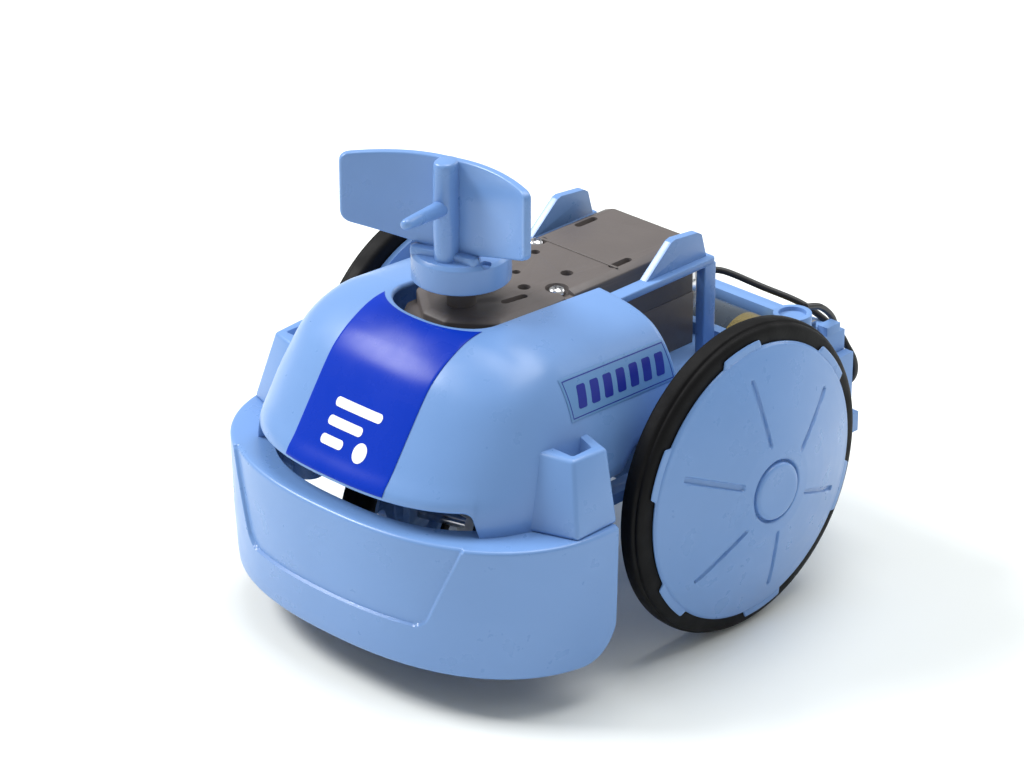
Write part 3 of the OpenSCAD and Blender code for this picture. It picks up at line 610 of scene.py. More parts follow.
# ---- films on the cover
def cover_xz(x, z):
    """point and normal on the front of the cover at x, z"""
    t = cov_par(z)
    zz, a, bb = catmull(COV, t)
    n = cov_n(zz)
    def P(xx, tt):
        z1, a1, b1 = catmull(COV, tt)
        n1 = cov_n(z1)
        return np.array([xx, CY - b1 * max(0.0, 1 - (abs(xx) / a1) ** n1) ** (1 / n1), z1])
    e = 1e-3
    t0, t1 = max(t - e, 0), min(t + e, len(COV) - 1)
    n_ = np.cross(P(x + e, t) - P(x - e, t), P(x, t1) - P(x, t0))
    n_ /= np.linalg.norm(n_)
    if n_[1] > 0 and n_[2] < 0.3 or n_[2] < 0:
        n_ = -n_
    return P(x, t), n_


def cover_yz(y, z):
    """point and normal on the right side of the cover at y, z (z before the drop)"""
    def P(yy, tt):
        z1, a1, b1 = catmull(COV, tt)
        n1 = cov_n(z1)
        if yy > CY:
            return np.array([a1, yy, z1 - cov_drop(z1, yy)])
        return np.array([a1 * max(0.0, 1 - ((CY - yy) / b1) ** n1) ** (1 / n1), yy, z1])
    t = cov_par(z)
    e = 1e-3
    n_ = np.cross(P(y + e, t) - P(y - e, t), P(y, t + e) - P(y, t - e))
    n_ /= np.linalg.norm(n_)
    if n_[0] < 0:
        n_ = -n_
    return P(y, t), n_


def film(name, fun, us, vs, lo, hi, mats, chamfer=0.04):
    """thin film with a fine rounded border, over a grid of surface points"""
    nu, nv = len(us), len(vs)
    verts, faces = [], []
    for h in (hi, lo):
        for i, v in enumerate(vs):
            for j, u in enumerate(us):
                p, n = fun(u, v)
                edge = (i in (0, nv - 1)) or (j in (0, nu - 1))
                verts.append(tuple(p + n * (h - (chamfer if (edge and h == hi) else 0))))
    o = nu * nv
    for i in range(nv - 1):
        for j in range(nu - 1):
            a = i * nu + j
            faces.append((a, a + 1, a + nu + 1, a + nu))
            faces.append((o + a, o + a + nu, o + a + nu + 1, o + a + 1))
    rim = [j for j in range(nu)] + [i * nu + nu - 1 for i in range(1, nv)] + [(nv - 1) * nu + j for j in range(nu - 2, -1, -1)] + [i * nu for i in range(nv - 2, 0, -1)]
    for k in range(len(rim)):
        a, b2 = rim[k], rim[(k + 1) % len(rim)]
        faces.append((a, o + a, o + b2, b2))
    return mesh_object(name, verts, faces, mats, sharp=40)


def lin(a, b, n):
    return [a + (b - a) * i / (n - 1) for i in range(n)]


SW = 12.2
us = [-SW, -SW + 0.12] + lin(-SW + 0.5, SW - 0.5, 41) + [SW - 0.12, SW]
vs = [39.15, 39.27] + lin(39.7, 61.4, 50) + [61.8, 62.1, 62.3, 62.42, 62.52, 62.58]
stripe = film("front_stripe_film", cover_xz, us, vs, 0.04, 0.14, [m_stripe])


def patch(name, fun, poly, h0, h1, mats, step=0.35):
    """a printed shape: polygon in the surface's two coordinates, laid on the surface"""
    me = bpy.data.meshes.new(name)
    bm = bmesh.new()
    vsx = [bm.verts.new((u, v, 0)) for u, v in poly]
    f = bm.faces.new(vsx)
    bmesh.ops.triangulate(bm, faces=[f])
    for _ in range(6):
        long = [e for e in bm.edges if e.calc_length() > step]
        if not long:
            break
        bmesh.ops.subdivide_edges(bm, edges=long, cuts=1)
        bmesh.ops.triangulate(bm, faces=bm.faces)
    r = bmesh.ops.extrude_face_region(bm, geom=bm.faces[:])
    top = set(v for v in r["geom"] if isinstance(v, bmesh.types.BMVert))
    for v in bm.verts:
        p, n = fun(v.co.x, v.co.y)
        v.co = Vector(place(p + n * (h1 if v in top else h0)))
    bmesh.ops.recalc_face_normals(bm, faces=bm.faces)
    for fc in bm.faces:
        fc.smooth = True
    for e in bm.edges:
        e.smooth = not (len(e.link_faces) == 2 and e.calc_face_angle(0) > math.radians(40))
    bm.to_mesh(me)
    bm.free()
    ob = bpy.data.objects.new(name, me)
    bpy.context.scene.collection.objects.link(ob)
    for m in mats:
        me.materials.append(m)
    return ob


def circle_pts(cx, cy, r, n=48):
    return [(cx + r * math.cos(2 * math.pi * i / n), cy + r * math.sin(2 * math.pi * i / n)) for i in range(n)]


# generic mark: a white pill-shaped block with a plain arrow left open, and a bar under it
mark_parts = []
mc = (0.2, 46.6)
bars = [[(-5.6, 48.9), (5.9, 48.9), (5.9, 50.4), (-5.6, 50.4)],
        [(-5.6, 46.0), (2.9, 46.0), (2.9, 47.5), (-5.6, 47.5)],
        [(-5.6, 43.1), (-0.1, 43.1), (-0.1, 44.6), (-5.6, 44.6)]]
for i, bar in enumerate(bars):
    mark_parts.append(patch("mb%d" % i, cover_xz, rounded(bar, 0.7, 5), 0.10, 0.19, [m_white]))
mark_parts.append(patch("md", cover_xz, circle_pts(4.1, 43.9, 1.55), 0.10, 0.19, [m_white]))
stripe = join([stripe] + mark_parts, "front_stripe_film")
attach(stripe, "chassis")
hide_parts("stripe_decal")


def side_label(name):
    us = [-35.5, -35.4] + lin(-35.1, -9.0, 60) + [-8.7, -8.6]
    vs = [50.3, 50.4] + lin(50.7, 57.0, 18) + [57.3, 57.4]
    parts = [film("l", cover_yz, us, vs, 0.04, 0.13, [m_label])]
    # thin dark border line and slanted bars in place of any lettering
    b0, b1, z0, z1 = -35.0, -9.1, 50.75, 56.95
    w = 0.16
    for q in ([(b0, z0), (b1, z0), (b1, z0 + w), (b0, z0 + w)], [(b0, z1 - w), (b1, z1 - w), (b1, z1), (b0, z1)],
              [(b0, z0), (b0 + w, z0), (b0 + w, z1), (b0, z1)], [(b1 - w, z0), (b1, z0), (b1, z1), (b1 - w, z1)]):
        parts.append(patch("p", cover_yz, q, 0.10, 0.155, [m_mark], 0.6))
    for k in range(7):
        y = -33.2 + k * 3.35
        parts.append(patch("p", cover_yz, rounded([(y, 52.0), (y + 2.1, 52.0), (y + 3.1, 55.7), (y + 1.0, 55.7)], 0.35, 4), 0.10, 0.165, [m_mark], 0.6))
    return join(parts, name)


label_r = side_label("side_label_film_right")
label_l = mirror_x(label_r, "side_label_film_left")
for o, nn in ((label_r, "side_label_right"), (label_l, "side_label_left")):
    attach(o, "chassis")
    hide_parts(nn)

# ------------------------------------------------------------------ front bumper
BY, BB = -36.0, -35.1
BUM = np.array([[8, 41.8, 29.6], [11, 42, 30], [20, 42.3, 30.6], [34, 42.5, 31]], float)


def bum_ab(z):
    return float(np.interp(z, BUM[:, 0], BUM[:, 1])), float(np.interp(z, BUM[:, 0], BUM[:, 2]))


def se_xy(a, bb, yc, yb, n, s):
    """plan curve, s in [-1, 1]"""
    k = 0.012
    u = abs(s)
    if u > 1 - k:
        x, y = a, yc + (yb - yc) * (u - (1 - k)) / k
    else:
        ang = math.radians(90 * (1 - u / (1 - k)))
        ang = math.pi / 2 * (1 - (1 - u / (1 - k)))
        ang = math.pi / 2 - ang
        x, y = a * spow(math.cos(ang), 2 / n), yc - bb * spow(math.sin(ang), 2 / n)
    return (-x if s > 0 else x, y)


def bum_low(y):
    if y <= -43:
        return 8.0
    d = min(max(y + 43, 0), 7.9)
    return 16 - math.sqrt(max(64 - d * d, 0.0))


def panel_sdf(x, z):
    """signed distance outside the sunk front panel (negative inside)"""
    ax = abs(x)
    # side line from (29.2, 34) to (22.6, 18.2); bottom line z = 17
    p = np.array([ax - 29.2, z - 34.0])
    d = np.array([-6.6, -15.8])
    L = np.linalg.norm(d)
    n = np.array([d[1], -d[0]]) / L * -1
    side = float(p @ n)
    bot = 17.1 - z
    r = 2.2
    a, c = side + r, bot + r
    if a > 0 and c > 0:
        return math.hypot(a, c) - r
    return max(side, bot)


def make_bumper():
    cols = list(even_columns(lambda s: (*se_xy(42.4, 30.8, BY, BB, 2.35, s), 0), 640))
    cols = [-1.0] + [c for c in cols if abs(c) < 0.9985] + [1.0]
    rings = []
    nz = 84
    for s in cols:
        x0, y0 = se_xy(42.4, 30.8, BY, BB, 2.35, s)
        zl = bum_low(y0)
        end = abs(s) > 0.999
        inset = 0.4 if end else 0.0
        zt = 34.0
        outer = []
        zs = [zl + 0.75] + [zl + 0.75 + (zt - 0.7 - zl - 0.75) * i / nz for i in range(1, nz + 1)]
        def at(z, off):
            a, bb = bum_ab(z)
            x, y = se_xy(a, bb, BY, BB, 2.35, s)
            e = 1e-3
            xa, ya = se_xy(a, bb, BY, BB, 2.35, max(s - e, -1))
            xb, yb = se_xy(a, bb, BY, BB, 2.35, min(s + e, 1))
            tx, ty = xb - xa, yb - ya
            l = math.hypot(tx, ty) or 1
            nx, ny = ty / l, -tx / l
            if nx * x + ny * (y - BY) < 0:
                nx, ny = -nx, -ny
            if abs(s) > 0.985:
                nx, ny = (-1.0 if s > 0 else 1.0), 0.0
            return np.array([x + nx * off, y + ny * off, z])
        def rec(x, z):
            return -0.62 * float(sstep(0.2, -0.16, panel_sdf(x, z)))
        for z in zs:
            o = at(z, 0)
            d = rec(o[0], z) if o[1] < -45 else 0.0
            outer.append(at(z, d - inset))
        # fillet to the ledge
        lo = rec(x0, 33.9) if y0 < -45 else 0.0
        r = 0.7
        for k in range(1, 6):
            f = math.pi / 2 * k / 5
            outer.append(at(zt - r + r * math.sin(f), lo - inset - r * (1 - math.cos(f))))
        # ledge inwards
        a_i, b_i = 31.2, 27.6
        xi, yi = se_xy(a_i, b_i, CY, BB, 2.6, s)
        po = outer[-1]
        pin = np.array([xi, yi, zt])
        ledge = [po + (pin - po) * f for f in (0.15, 0.4, 0.7, 0.97)]
        ledge = [np.array([q[0], q[1], zt]) for q in ledge]
        ledge.append(np.array([xi, yi, zt - 0.3]))
        ledge.append(np.array([xi, yi, 32.2]))
        back = at(32.0, -2.0 + (0.4 if end else 0))
        un = [np.array([xi, yi, 32.0]) + (back - np.array([xi, yi, 32.0])) * f for f in (0.05, 0.5, 0.96)]
        inner = [at(31.4 - (31.4 - zl - 0.75) * i / 12, -2.0 + (0.4 if end else 0)) for i in range(13)]
        lip = []
        for k in range(1, 8):
            f = math.pi * k / 8
            lip.append(at(zl + 0.75 - 0.75 * math.sin(f), -1.0 - math.cos(f) * (1.0 if not end else 0.6) + 0 if False else -1.0 - math.cos(f) * (1.0 - inset)))
        # lip runs from the inner wall to the outer wall
        lip = [at(zl + 0.75 - 0.75 * math.sin(math.pi * k / 8), -1.0 - (1.0 - inset) * math.cos(math.pi * k / 8)) for k in range(1, 8)]
        rings.append([tuple(v) for v in outer + ledge + un + inner + lip])
    return loft("bumper_shell", rings, [m_blue], closed=True, caps=True, sharp=50)


def bosses():
    out = []
    for sgn in (1, -1):
        prof = rounded([(1.05, 18), (3, 18), (3, 32.2), (1.05, 32.2)], [0.2, 0.35, 0.05, 0.05], 4)
        out.append(lathe("b", prof, [m_blue_in], (34.1 * sgn, -37.8, 0), "z", 48))
        r = boxy("r", (min(36.6 * sgn, 41 * sgn), -38.6, 18.4), (max(36.6 * sgn, 41 * sgn), -37.0, 32.1), [m_blue_in])
        bevel(r, 0.25, 2)
        finish_mesh(r, True, 35)
        out.append(r)
    return out


bumper = join([make_bumper()] + bosses(), "front_bumper_shell")
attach(bumper, "chassis")
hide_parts("front_bumper")


# ------------------------------------------------------------------ main wheels
def disc_u(r):
    """outer face of the wheel disc: distance from the middle plane"""
    return float(np.interp(r, [0, 5.5, 6.5, 9, 12, 15, 18, 21, 23.5, 25.2, 26.2], [48.9, 48.5, 48.35, 47.95, 47.27, 46.52, 45.68, 44.75, 43.92, 43.3, 42.95]))


GA = [math.radians(-22.2 + 60 * k) for k in range(6)]


def groove_depth(r, t, wide=0.45):
    """depth of the radial grooves at a point of the face, mm"""
    best = 9.0
    for k, a in enumerate(GA):
        dt = math.atan2(math.sin(t - a), math.cos(t - a))
        x, y = r * math.cos(dt), r * math.sin(dt)
        w = 0.62 if k == 3 else wide
        dx = max(9.4 - x, x - 21.4, 0.0) if x > 0 else 99
        d = math.hypot(dx, y) - w
        best = min(best, d)
    return 0.5 * float(sstep(0.1, -0.14, best))


def tab_r(t):
    """outline of the rim: six tabs reach over the tyre"""
    m = 0.0
    for a in GA:
        dt = abs(math.atan2(math.sin(t - a), math.cos(t - a)))
        m = max(m, float(sstep(math.radians(11.2), math.radians(9.4), dt)))
    return m


def clip_r(t):
    """small clips between the tabs"""
    m = 0.0
    for a in GA:
        for off in (19.0, -19.0):
            dt = math.atan2(math.sin(t - a - math.radians(off)), math.cos(t - a - math.radians(off)))
            m = max(m, float(sstep(math.radians(3.4), math.radians(2.4), abs(dt))))
    return m


def make_disc(name):
    seg = 720
    radii = [5.95, 6.15, 6.4] + lin(6.7, 25.6, 76)
    rings = []
    hub = [(0.0, 48.9), (1.5, 48.9), (3.0, 48.9), (4.4, 48.9), (5.0, 48.86), (5.3, 48.72), (5.45, 48.5), (5.5, 48.2), (5.55, 47.75), (5.7, 47.62), (5.9, 47.75), (6.0, 48.1), (6.1, 48.3), (6.3, 48.38), (6.6, 48.33)]
    face_r = lin(7.0, 25.4, 74)
    for i in range(seg):
        t = 2 * math.pi * i / seg
        m = tab_r(t)
        R = 26.45 + 1.3 * m
        ring = [(r, h) for r, h in hub]
        for r in face_r:
            ring.append((r, disc_u(r) - groove_depth(r, t)))
        # rounded edge of the disc, then the tabs at a lower level
        u = disc_u(25.4)
        ring += [(25.8, u - 0.1), (26.05, u - 0.22), (26.2, u - 0.4), (26.24, 42.86)]
        ring += [(26.28, 42.78), (26.34 + 0.1 * m, 42.74), (R - 0.3 if m > 0.3 else 26.4, 42.7), (max(R - 0.1, 26.42), 42.62), (max(R, 26.43), 42.5), (max(R - 0.05, 26.4), 42.38), (max(R - 0.3, 26.3), 42.31)]
        ring += [(25.6, 42.3), (25.28, 42.2), (25.28, 38.0), (25.2, 37.4), (24.9, 37.3), (24.3, 37.3), (24.0, 37.4), (23.92, 38.0), (23.92, 41.6), (23.6, 42.3)]
        ring += [(20, 43.4), (15, 45.1), (10, 46.4), (6.2, 47.0), (3.0, 47.2), (0.0, 47.3)]
        rings.append([(h, r * math.cos(t), 30 + r * math.sin(t)) for r, h in ring])
    ob = loft(name, rings, [m_blue], closed=False, caps=False, loop=True)
    bm = bmesh.new()
    bm.from_mesh(ob.data)
    bmesh.ops.remove_doubles(bm, verts=bm.verts, dist=1e-7)
    bmesh.ops.recalc_face_normals(bm, faces=bm.faces)
    bm.to_mesh(ob.data)
    bm.free()
    finish_mesh(ob, True, 48)
    return ob


disc_r = make_disc("wheel_disc_face_right")
disc_l = mirror_x(disc_r, "wheel_disc_face_left")


def tyre_prof():
    p = [(25.3, 37.6), (26.6, 37.4), (27.9, 37.35)]
    p += [(28.9 + 1.05 * math.sin(math.radians(a)), 38.5 - 1.1 * math.cos(math.radians(a))) for a in (10, 30, 50, 70)]
    p += [(29.98, 38.9), (30.0, 39.6), (29.95, 40.3), (29.78, 40.62), (29.5, 40.74), (29.36, 40.9), (29.42, 41.12), (29.38, 41.4)]
    p += [(29.1, 41.75), (28.6, 42.02), (27.9, 42.18), (27.0, 42.26), (26.4, 42.25), (25.3, 42.2)]
    return p


def fine(p, n=2, closed=True):
    """one pass of corner cutting along a profile"""
    for _ in range(n):
        q = []
        m = len(p)
        for i in range(m):
            a, b2 = p[i], p[(i + 1) % m]
            q.append((a[0] * 0.75 + b2[0] * 0.25, a[1] * 0.75 + b2[1] * 0.25))
            q.append((a[0] * 0.25 + b2[0] * 0.75, a[1] * 0.25 + b2[1] * 0.75))
        p = q
    return p


tyre_r = lathe("tyre_ring_right", fine(tyre_prof(), 1), [m_rubber], (0, 0, 30), "x", 256, sharp=None)
tyre_l = mirror_x(tyre_r, "tyre_ring_left")
for o, nn, bd in ((disc_r, "wheel_disc_right", "wheel_right"), (disc_l, "wheel_disc_left", "wheel_left")):
    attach(o, bd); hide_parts(nn)
for o, nn, bd in ((tyre_r, "tyre_right", "wheel_right"), (tyre_l, "tyre_left", "wheel_left")):
    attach(o, bd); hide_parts(nn)


# ------------------------------------------------------------------ direction cap and paddle
def phillips(name, r, h, z, x, y, where="axle", flat=False, mats=None, shank=3.0, rs=0.8):
    """cross-head screw whose head's top is at z"""
    dome = [(0.0, z)] + [(r * 0.97 * math.sin(math.radians(a)), z - h * 0.75 * (1 - math.cos(math.radians(a)))) for a in (15, 30, 45, 60, 75, 90)]
    prof = dome + [(r, z - h * 0.85), (r * 0.97, z - h), (rs, z - h), (rs, z - shank), (0.0, z - shank - 0.3)]
    ob = lathe(name, prof, mats or [m_steel], (x, y, 0), "z", 48, where, close=False, sharp=35)
    for a in (0, 1):
        w, l = 0.17 * r, 0.62 * r
        lo, hi = ((-l, -w), (l, w)) if a else ((-w, -l), (w, l))
        n = 4
        vv = [(lo[0], lo[1]), (hi[0], lo[1]), (hi[0], hi[1]), (lo[0], hi[1])]
        ang = math.radians(28)
        vv = [(px * math.cos(ang) - py * math.sin(ang), px * math.sin(ang) + py * math.cos(ang)) for px, py in vv]
        low = [(px * 0.45, py * 0.45) for px, py in vv]
        verts = [(x + px, y + py, z - 0.55 * h - 0.35) for px, py in low] + [(x + px, y + py, z + 0.3) for px, py in vv]
        faces = [(0, 1, 2, 3), (7, 6, 5, 4)] + [(i, (i + 1) % 4, 4 + (i + 1) % 4, 4 + i) for i in range(4)]
        c = mesh_object("c", verts, faces, [mats[0] if mats else m_steel], where, smooth=False)
        boolean(ob, c)
    finish_mesh(ob, True, 35)
    return ob


cap_prof = rounded([(1.5, 67.2), (9.0, 67.2), (9.0, 71.9), (8.45, 72.6), (1.5, 72.6)], [0.05, 0.35, 0.35, 0.3, 0.05], 5)
cap = lathe("direction_cap_body", cap_prof, [m_blue], (0, 0, 0), "z", 160, "swivel", sharp=30)
for poly, z0, z1 in ((rounded([(6.2, PADY - 1.6), (8.0, PADY - 1.6), (8.0, PADY + 0.6), (6.2, PADY + 0.6)], 0.6, 6), 71.9, 73.5),
                     (rounded([(-9.6, -2.2), (-7.9, -2.2), (-7.9, -0.6), (-9.6, -0.6)], 0.3, 4), 71.6, 73.5)):
    c = prism("c", poly, z0, z1, [m_blue], where="swivel")
    boolean(cap, c)
finish_mesh(cap, True, 35)
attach(cap, "drive_unit"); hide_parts("direction_cap")


def wing_y(x):
    ax = abs(x)
    return PADY - 0.0225 * max(0.0, ax - 2) ** 2


def make_wing(sgn):
    rings = []
    xs = lin(0.0, 17.4, 40) + [17.9, 18.3, 18.6, 18.8, 18.93, 19.0]
    for x in xs:
        zb = 73.0 + 0.10 * x + 0.0088 * x * x
        zt = 91.25 - 0.0015 * x * x
        rc = 1.5
        d = x - (19.0 - rc)
        if d > 0:
            k = rc - math.sqrt(max(rc * rc - d * d, 0))
            zb += k
            zt -= k
        th = 0.78
        e = 19.0 - x
        if e < 0.5:
            th = 0.28 + 0.5 * math.sqrt(max(0.0, 1 - ((0.5 - e) / 0.5) ** 2))
        yc = wing_y(x)
        e = 1e-3
        sl = (wing_y(x + e) - yc) / e
        nrm = np.array([-sl, 1.0]) / math.hypot(sl, 1.0)
        r = min(0.42, th)
        sec = []
        zs = lin(zb + r, zt - r, 14)
        for z in zs:
            sec.append((-th, z))
        for k in range(1, 6):
            f = math.pi / 2 * k / 5
            sec.append((-(th - r) - r * math.cos(f), zt - r + r * math.sin(f)))
        for k in range(0, 6):
            f = math.pi / 2 * (1 - k / 5)
            sec.append(((th - r) + r * math.cos(f), zt - r + r * math.sin(f)))
        for z in zs[::-1]:
            sec.append((th, z))
        for k in range(1, 6):
            f = math.pi / 2 * k / 5
            sec.append(((th - r) + r * math.cos(f), zb + r - r * math.sin(f)))
        for k in range(0, 5):
            f = math.pi / 2 * (1 - k / 5)
            sec.append((-(th - r) - r * math.cos(f), zb + r - r * math.sin(f)))
        rings.append([(sgn * (x + nrm[0] * o), yc + nrm[1] * o, z) for o, z in sec])
    return loft("wing", rings, [m_blue], "swivel", closed=True, caps=True, sharp=60)


# upright rib: rounded front, fuller at the middle
rings = []
for z, k in [(72.5, 1.0)] + [(z, 1.0) for z in lin(73.2, 90.6, 24)] + [(90.95, 0.97), (91.15, 0.9), (91.28, 0.78)]:
    m = 1 - ((z - 82) / 10.5) ** 2
    ax, ay = 2.15 * k * (0.94 + 0.06 * m), (2.45 + 0.35 * m) * k
    yc = PADY - 1.5 - 0.12 * m
    ring = []
    for i in range(48):
        f = 2 * math.pi * i / 48
        cx, sx = math.cos(f), math.sin(f)
        ring.append((ax * math.copysign(abs(cx) ** 0.85, cx), yc + ay * math.copysign(abs(sx) ** 0.85, sx), z))
    rings.append(ring)
post = loft("post", rings, [m_blue], "swivel", closed=True, caps=True, sharp=50)
# foot: a bar bent with the wings
def foot_y(x):
    return PADY - 1.0 - 0.010 * x * x
rings = []
for x in lin(-7.3, 6.3, 36):
    e = min(x + 7.3, 6.3 - x)
    k = math.sqrt(max(0.0, 1 - (1 - min(e / 0.8, 1)) ** 2)) * 0.85 + 0.15
    w = 1.5 * k
    y = foot_y(x)
    rings.append([(x, y + w, 72.5), (x, y + w, 73.5), (x, y + w - 0.12, 73.78), (x, y + w - 0.38, 73.9), (x, y - w + 0.38, 73.9), (x, y - w + 0.12, 73.78), (x, y - w, 73.5), (x, y - w, 72.5)])
bar = loft("bar", rings, [m_blue], "swivel", closed=True, caps=True, sharp=55)
# peg: a tapered rod with a rounded end, tilted up
pr = [(1.62, 0.6), (1.6, 1.5), (1.52, 3.5), (1.3, 9), (1.08, 14.8), (1.0, 15.6), (0.85, 16.15), (0.5, 16.45), (0.0, 16.5)]
tilt = math.radians(7.3)
rings = []
for r, l in pr:
    ring = []
    for k in range(48):
        f = 2 * math.pi * k / 48
        dx, dz = r * math.cos(f), r * math.sin(f)
        ring.append((dx, PADY - l * math.cos(tilt) + dz * math.sin(tilt), 82.4 + l * math.sin(tilt) + dz * math.cos(tilt)))
    rings.append(ring)
peg = loft("peg", rings, [m_blue], "swivel", closed=True, caps=True, sharp=60)
clean_axis(peg)
finish_mesh(peg, True, 60)
paddle = join([make_wing(1), make_wing(-1), post, bar, peg], "direction_paddle_body")
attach(paddle, "drive_unit"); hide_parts("direction_paddle")

# ------------------------------------------------------------------ gearbox
def gb_plan(o):
    return [(11.2 - o, 18.5), (11.2 - o, -33.9), (7.2 - o * 0.7, -39.6 + o * 0.7), (3, -41.7 + o),
            (-3, -41.7 + o), (-7.2 + o * 0.7, -39.6 + o * 0.7), (-11.2 + o, -33.9), (-11.2 + o, 18.5)]


def gb_top(o):
    return [(11.2 - o, 18.5), (11.2 - o, -31.6 + o * 0.4), (2.7, -38.2 + o), (-2.7, -38.2 + o), (-11.2 + o, -31.6 + o * 0.4), (-11.2 + o, 18.5)]


def make_upper_case():
    rad = [0.5, 1.5, 2.5, 2, 2, 2.5, 1.5, 0.5]
    rings = [[(x, y, z) for x, y in rounded(gb_plan(o), rad, 6)] for z, o in ((51.5, 0.12), (51.62, 0.0), (59.1, 0.0), (59.3, 0.15))]
    low = loft("gearbox_low_tier", rings, [m_grey], closed=True, caps=True, sharp=40)
    rad = [0.5, 1.6, 1.4, 1.4, 1.6, 0.5]
    rings = [[(x, y, z) for x, y in rounded(gb_top(o), rad, 8)] for z, o in ((58.8, 0.0), (61.05, 0.0), (61.25, 0.05), (61.4, 0.2), (61.9, 1.5), (61.97, 1.75), (62.0, 2.05))]
    ob = loft("gearbox_upper_shell", rings, [m_grey], closed=True, caps=True, sharp=40)
    boolean(ob, low, "UNION")
    # hollow for the gears and the motor
    def cyl(x, y, z0, z1, r, seg=48):
        return prism("c", circle_pts(x, y, r, seg), z0, z1, [m_grey])
    inner = cyl(0, SWY, 50, 58.7, 9.4, 96)
    boolean(ob, inner)
    boolean(ob, cyl(0, -19.6, 50, 58.69, 9.4, 96))
    boolean(ob, boxy("c", (-9.41, SWY, 50), (9.41, -4.2, 58.71), [m_grey]))
    mot = prism("c", [(x, z) for x, z in [(10.1 * math.sin(math.radians(a)), 51.5 + min(10.1 * math.cos(math.radians(a)), 7.6)) for a in range(-100, 101, 4)]], -0.2, 20, [m_grey], "xz")
    boolean(ob, mot)
    for x, y, r in ((-5.9, -6.2, 0.95), (-2.2, -15, 0.85), (4.7, -8.9, 1.2), (3.4, -18.7, 1.2)):
        boolean(ob, cyl(x, y, 60.8, 63, r, 32))
    for x, y, a in ((-8.6, 10.3, 90), (8.6, 1.1, 90), (5.7, -23.6, 80)):
        f = math.radians(a)
        pts = [(2 + 0.8 * math.cos(math.radians(t)), 0.8 * math.sin(math.radians(t))) for t in range(-90, 91, 15)]
        pts += [(-2 + 0.8 * math.cos(math.radians(t)), 0.8 * math.sin(math.radians(t))) for t in range(90, 271, 15)]
        pts = [(x + px * math.cos(f) - py * math.sin(f), y + px * math.sin(f) + py * math.cos(f)) for px, py in pts]
        boolean(ob, prism("c", pts, 60.7, 63, [m_grey]))
    for x, y in ((-9.5, -2.2), (7.9, -14.9)):
        boolean(ob, cyl(x, y, 60.9, 63, 2.15, 48))
        sx = 1 if x > 0 else -1
        boolean(ob, boxy('c', (min(x, x + sx * 5), y - 1.2, 60.92), (max(x, x + sx * 5), y + 1.2, 63), [m_grey]))
        boolean(ob, cyl(x, y, 50, 62, 0.85, 24))
    bevel(ob, 0.14, 2, 38)
    finish_mesh(ob, True, 32)
    parts = [ob]
    # fine raised line across, and the neck under the cap
    r = prism("r", rounded([(-9.9, -1.25), (9.9, -1.25), (9.9, -0.75), (-9.9, -0.75)], 0.2, 3), 61.8, 62.2, [m_grey])
    bevel(r, 0.12, 3, 40); finish_mesh(r, True, 35)
    parts.append(r)
    neck = lathe("n", rounded([(1.56, 61.9), (2.7, 61.9), (2.6, 66.7), (1.56, 66.7)], [0, 0.1, 0.3, 0.1], 4), [m_grey], (0, SWY, 0), "z", 72, sharp=35)
    parts.append(neck)
    return join(parts, "gearbox_upper_shell")


upper = make_upper_case()
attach(upper, "chassis"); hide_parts("gearbox_upper_case")

scr = [phillips("s", 1.65, 1.2, 62.25, -9.5, -2.2, shank=12), phillips("s", 1.65, 1.2, 62.25, 7.9, -14.9, shank=5)]
screws = join(scr, "case_screw_pair")
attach(screws, "chassis"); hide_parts("case_screws")
scr = [phillips("s", 1.9, 1.3, 45.3, 34.1 * s, -37.8, shank=21, rs=1.0) for s in (1, -1)]
tscrews = join(scr, "tower_screw_pair")
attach(tscrews, "chassis"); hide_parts("tower_screws")

# ------------------------------------------------------------------ drive wheels
di, dr = 10.5, 18.0
hubp = rounded([(1.5, di), (3, di), (3, di + 2.4), (12.6, di + 2.4), (12.6, di + 0.4), (14.15, di + 0.4), (14.15, di + 5.6), (12.6, di + 5.6), (12.6, di + 4), (3, di + 4), (3, di + 6.4), (1.5, di + 6.4)],
               [0.1, 0.3, 0.5, 0.4, 0.25, 0.25, 0.25, 0.25, 0.4, 0.5, 0.3, 0.1], 3)
hub_r = lathe("drive_hub_body_right", hubp, [m_blue], (0, 0, 18), "x", 128, "swivel", sharp=40)
for k in range(6):
    a = math.radians(60 * k)
    c = prism("c", circle_pts(8.0 * math.cos(a), 18 + 8.0 * math.sin(a), 2.4, 40), di + 1, di + 6, [m_blue], "yz", "swivel")
    boolean(hub_r, c)
finish_mesh(hub_r, True, 38)
tp = [(14.2, di + 0.15), (15.2, di + 0.05), (16.5, di), (17.3, di + 0.3), (17.75, di + 0.9), (17.97, di + 1.9), (18.0, di + 3.0), (17.97, di + 4.1), (17.75, di + 5.1), (17.3, di + 5.7), (16.5, di + 6), (15.2, di + 5.95), (14.2, di + 5.85)]
dty_r = lathe("drive_tyre_ring_right", fine(tp, 1), [m_rubber], (0, 0, 18), "x", 192, "swivel", sharp=None)


def mirror_sw(ob, name):
    """mirror across the drive unit's own middle plane"""
    me = ob.data.copy()
    c = Vector((0, (SWY + AY) * 0.001, 0))
    M = Matrix.Translation(c) @ Matrix.Rotation(YAW, 4, "Z") @ Matrix.Scale(-1, 4, (1, 0, 0)) @ Matrix.Rotation(-YAW, 4, "Z") @ Matrix.Translation(-c)
    me.transform(M)
    me.flip_normals()
    o = bpy.data.objects.new(name, me)
    bpy.context.scene.collection.objects.link(o)
    return o


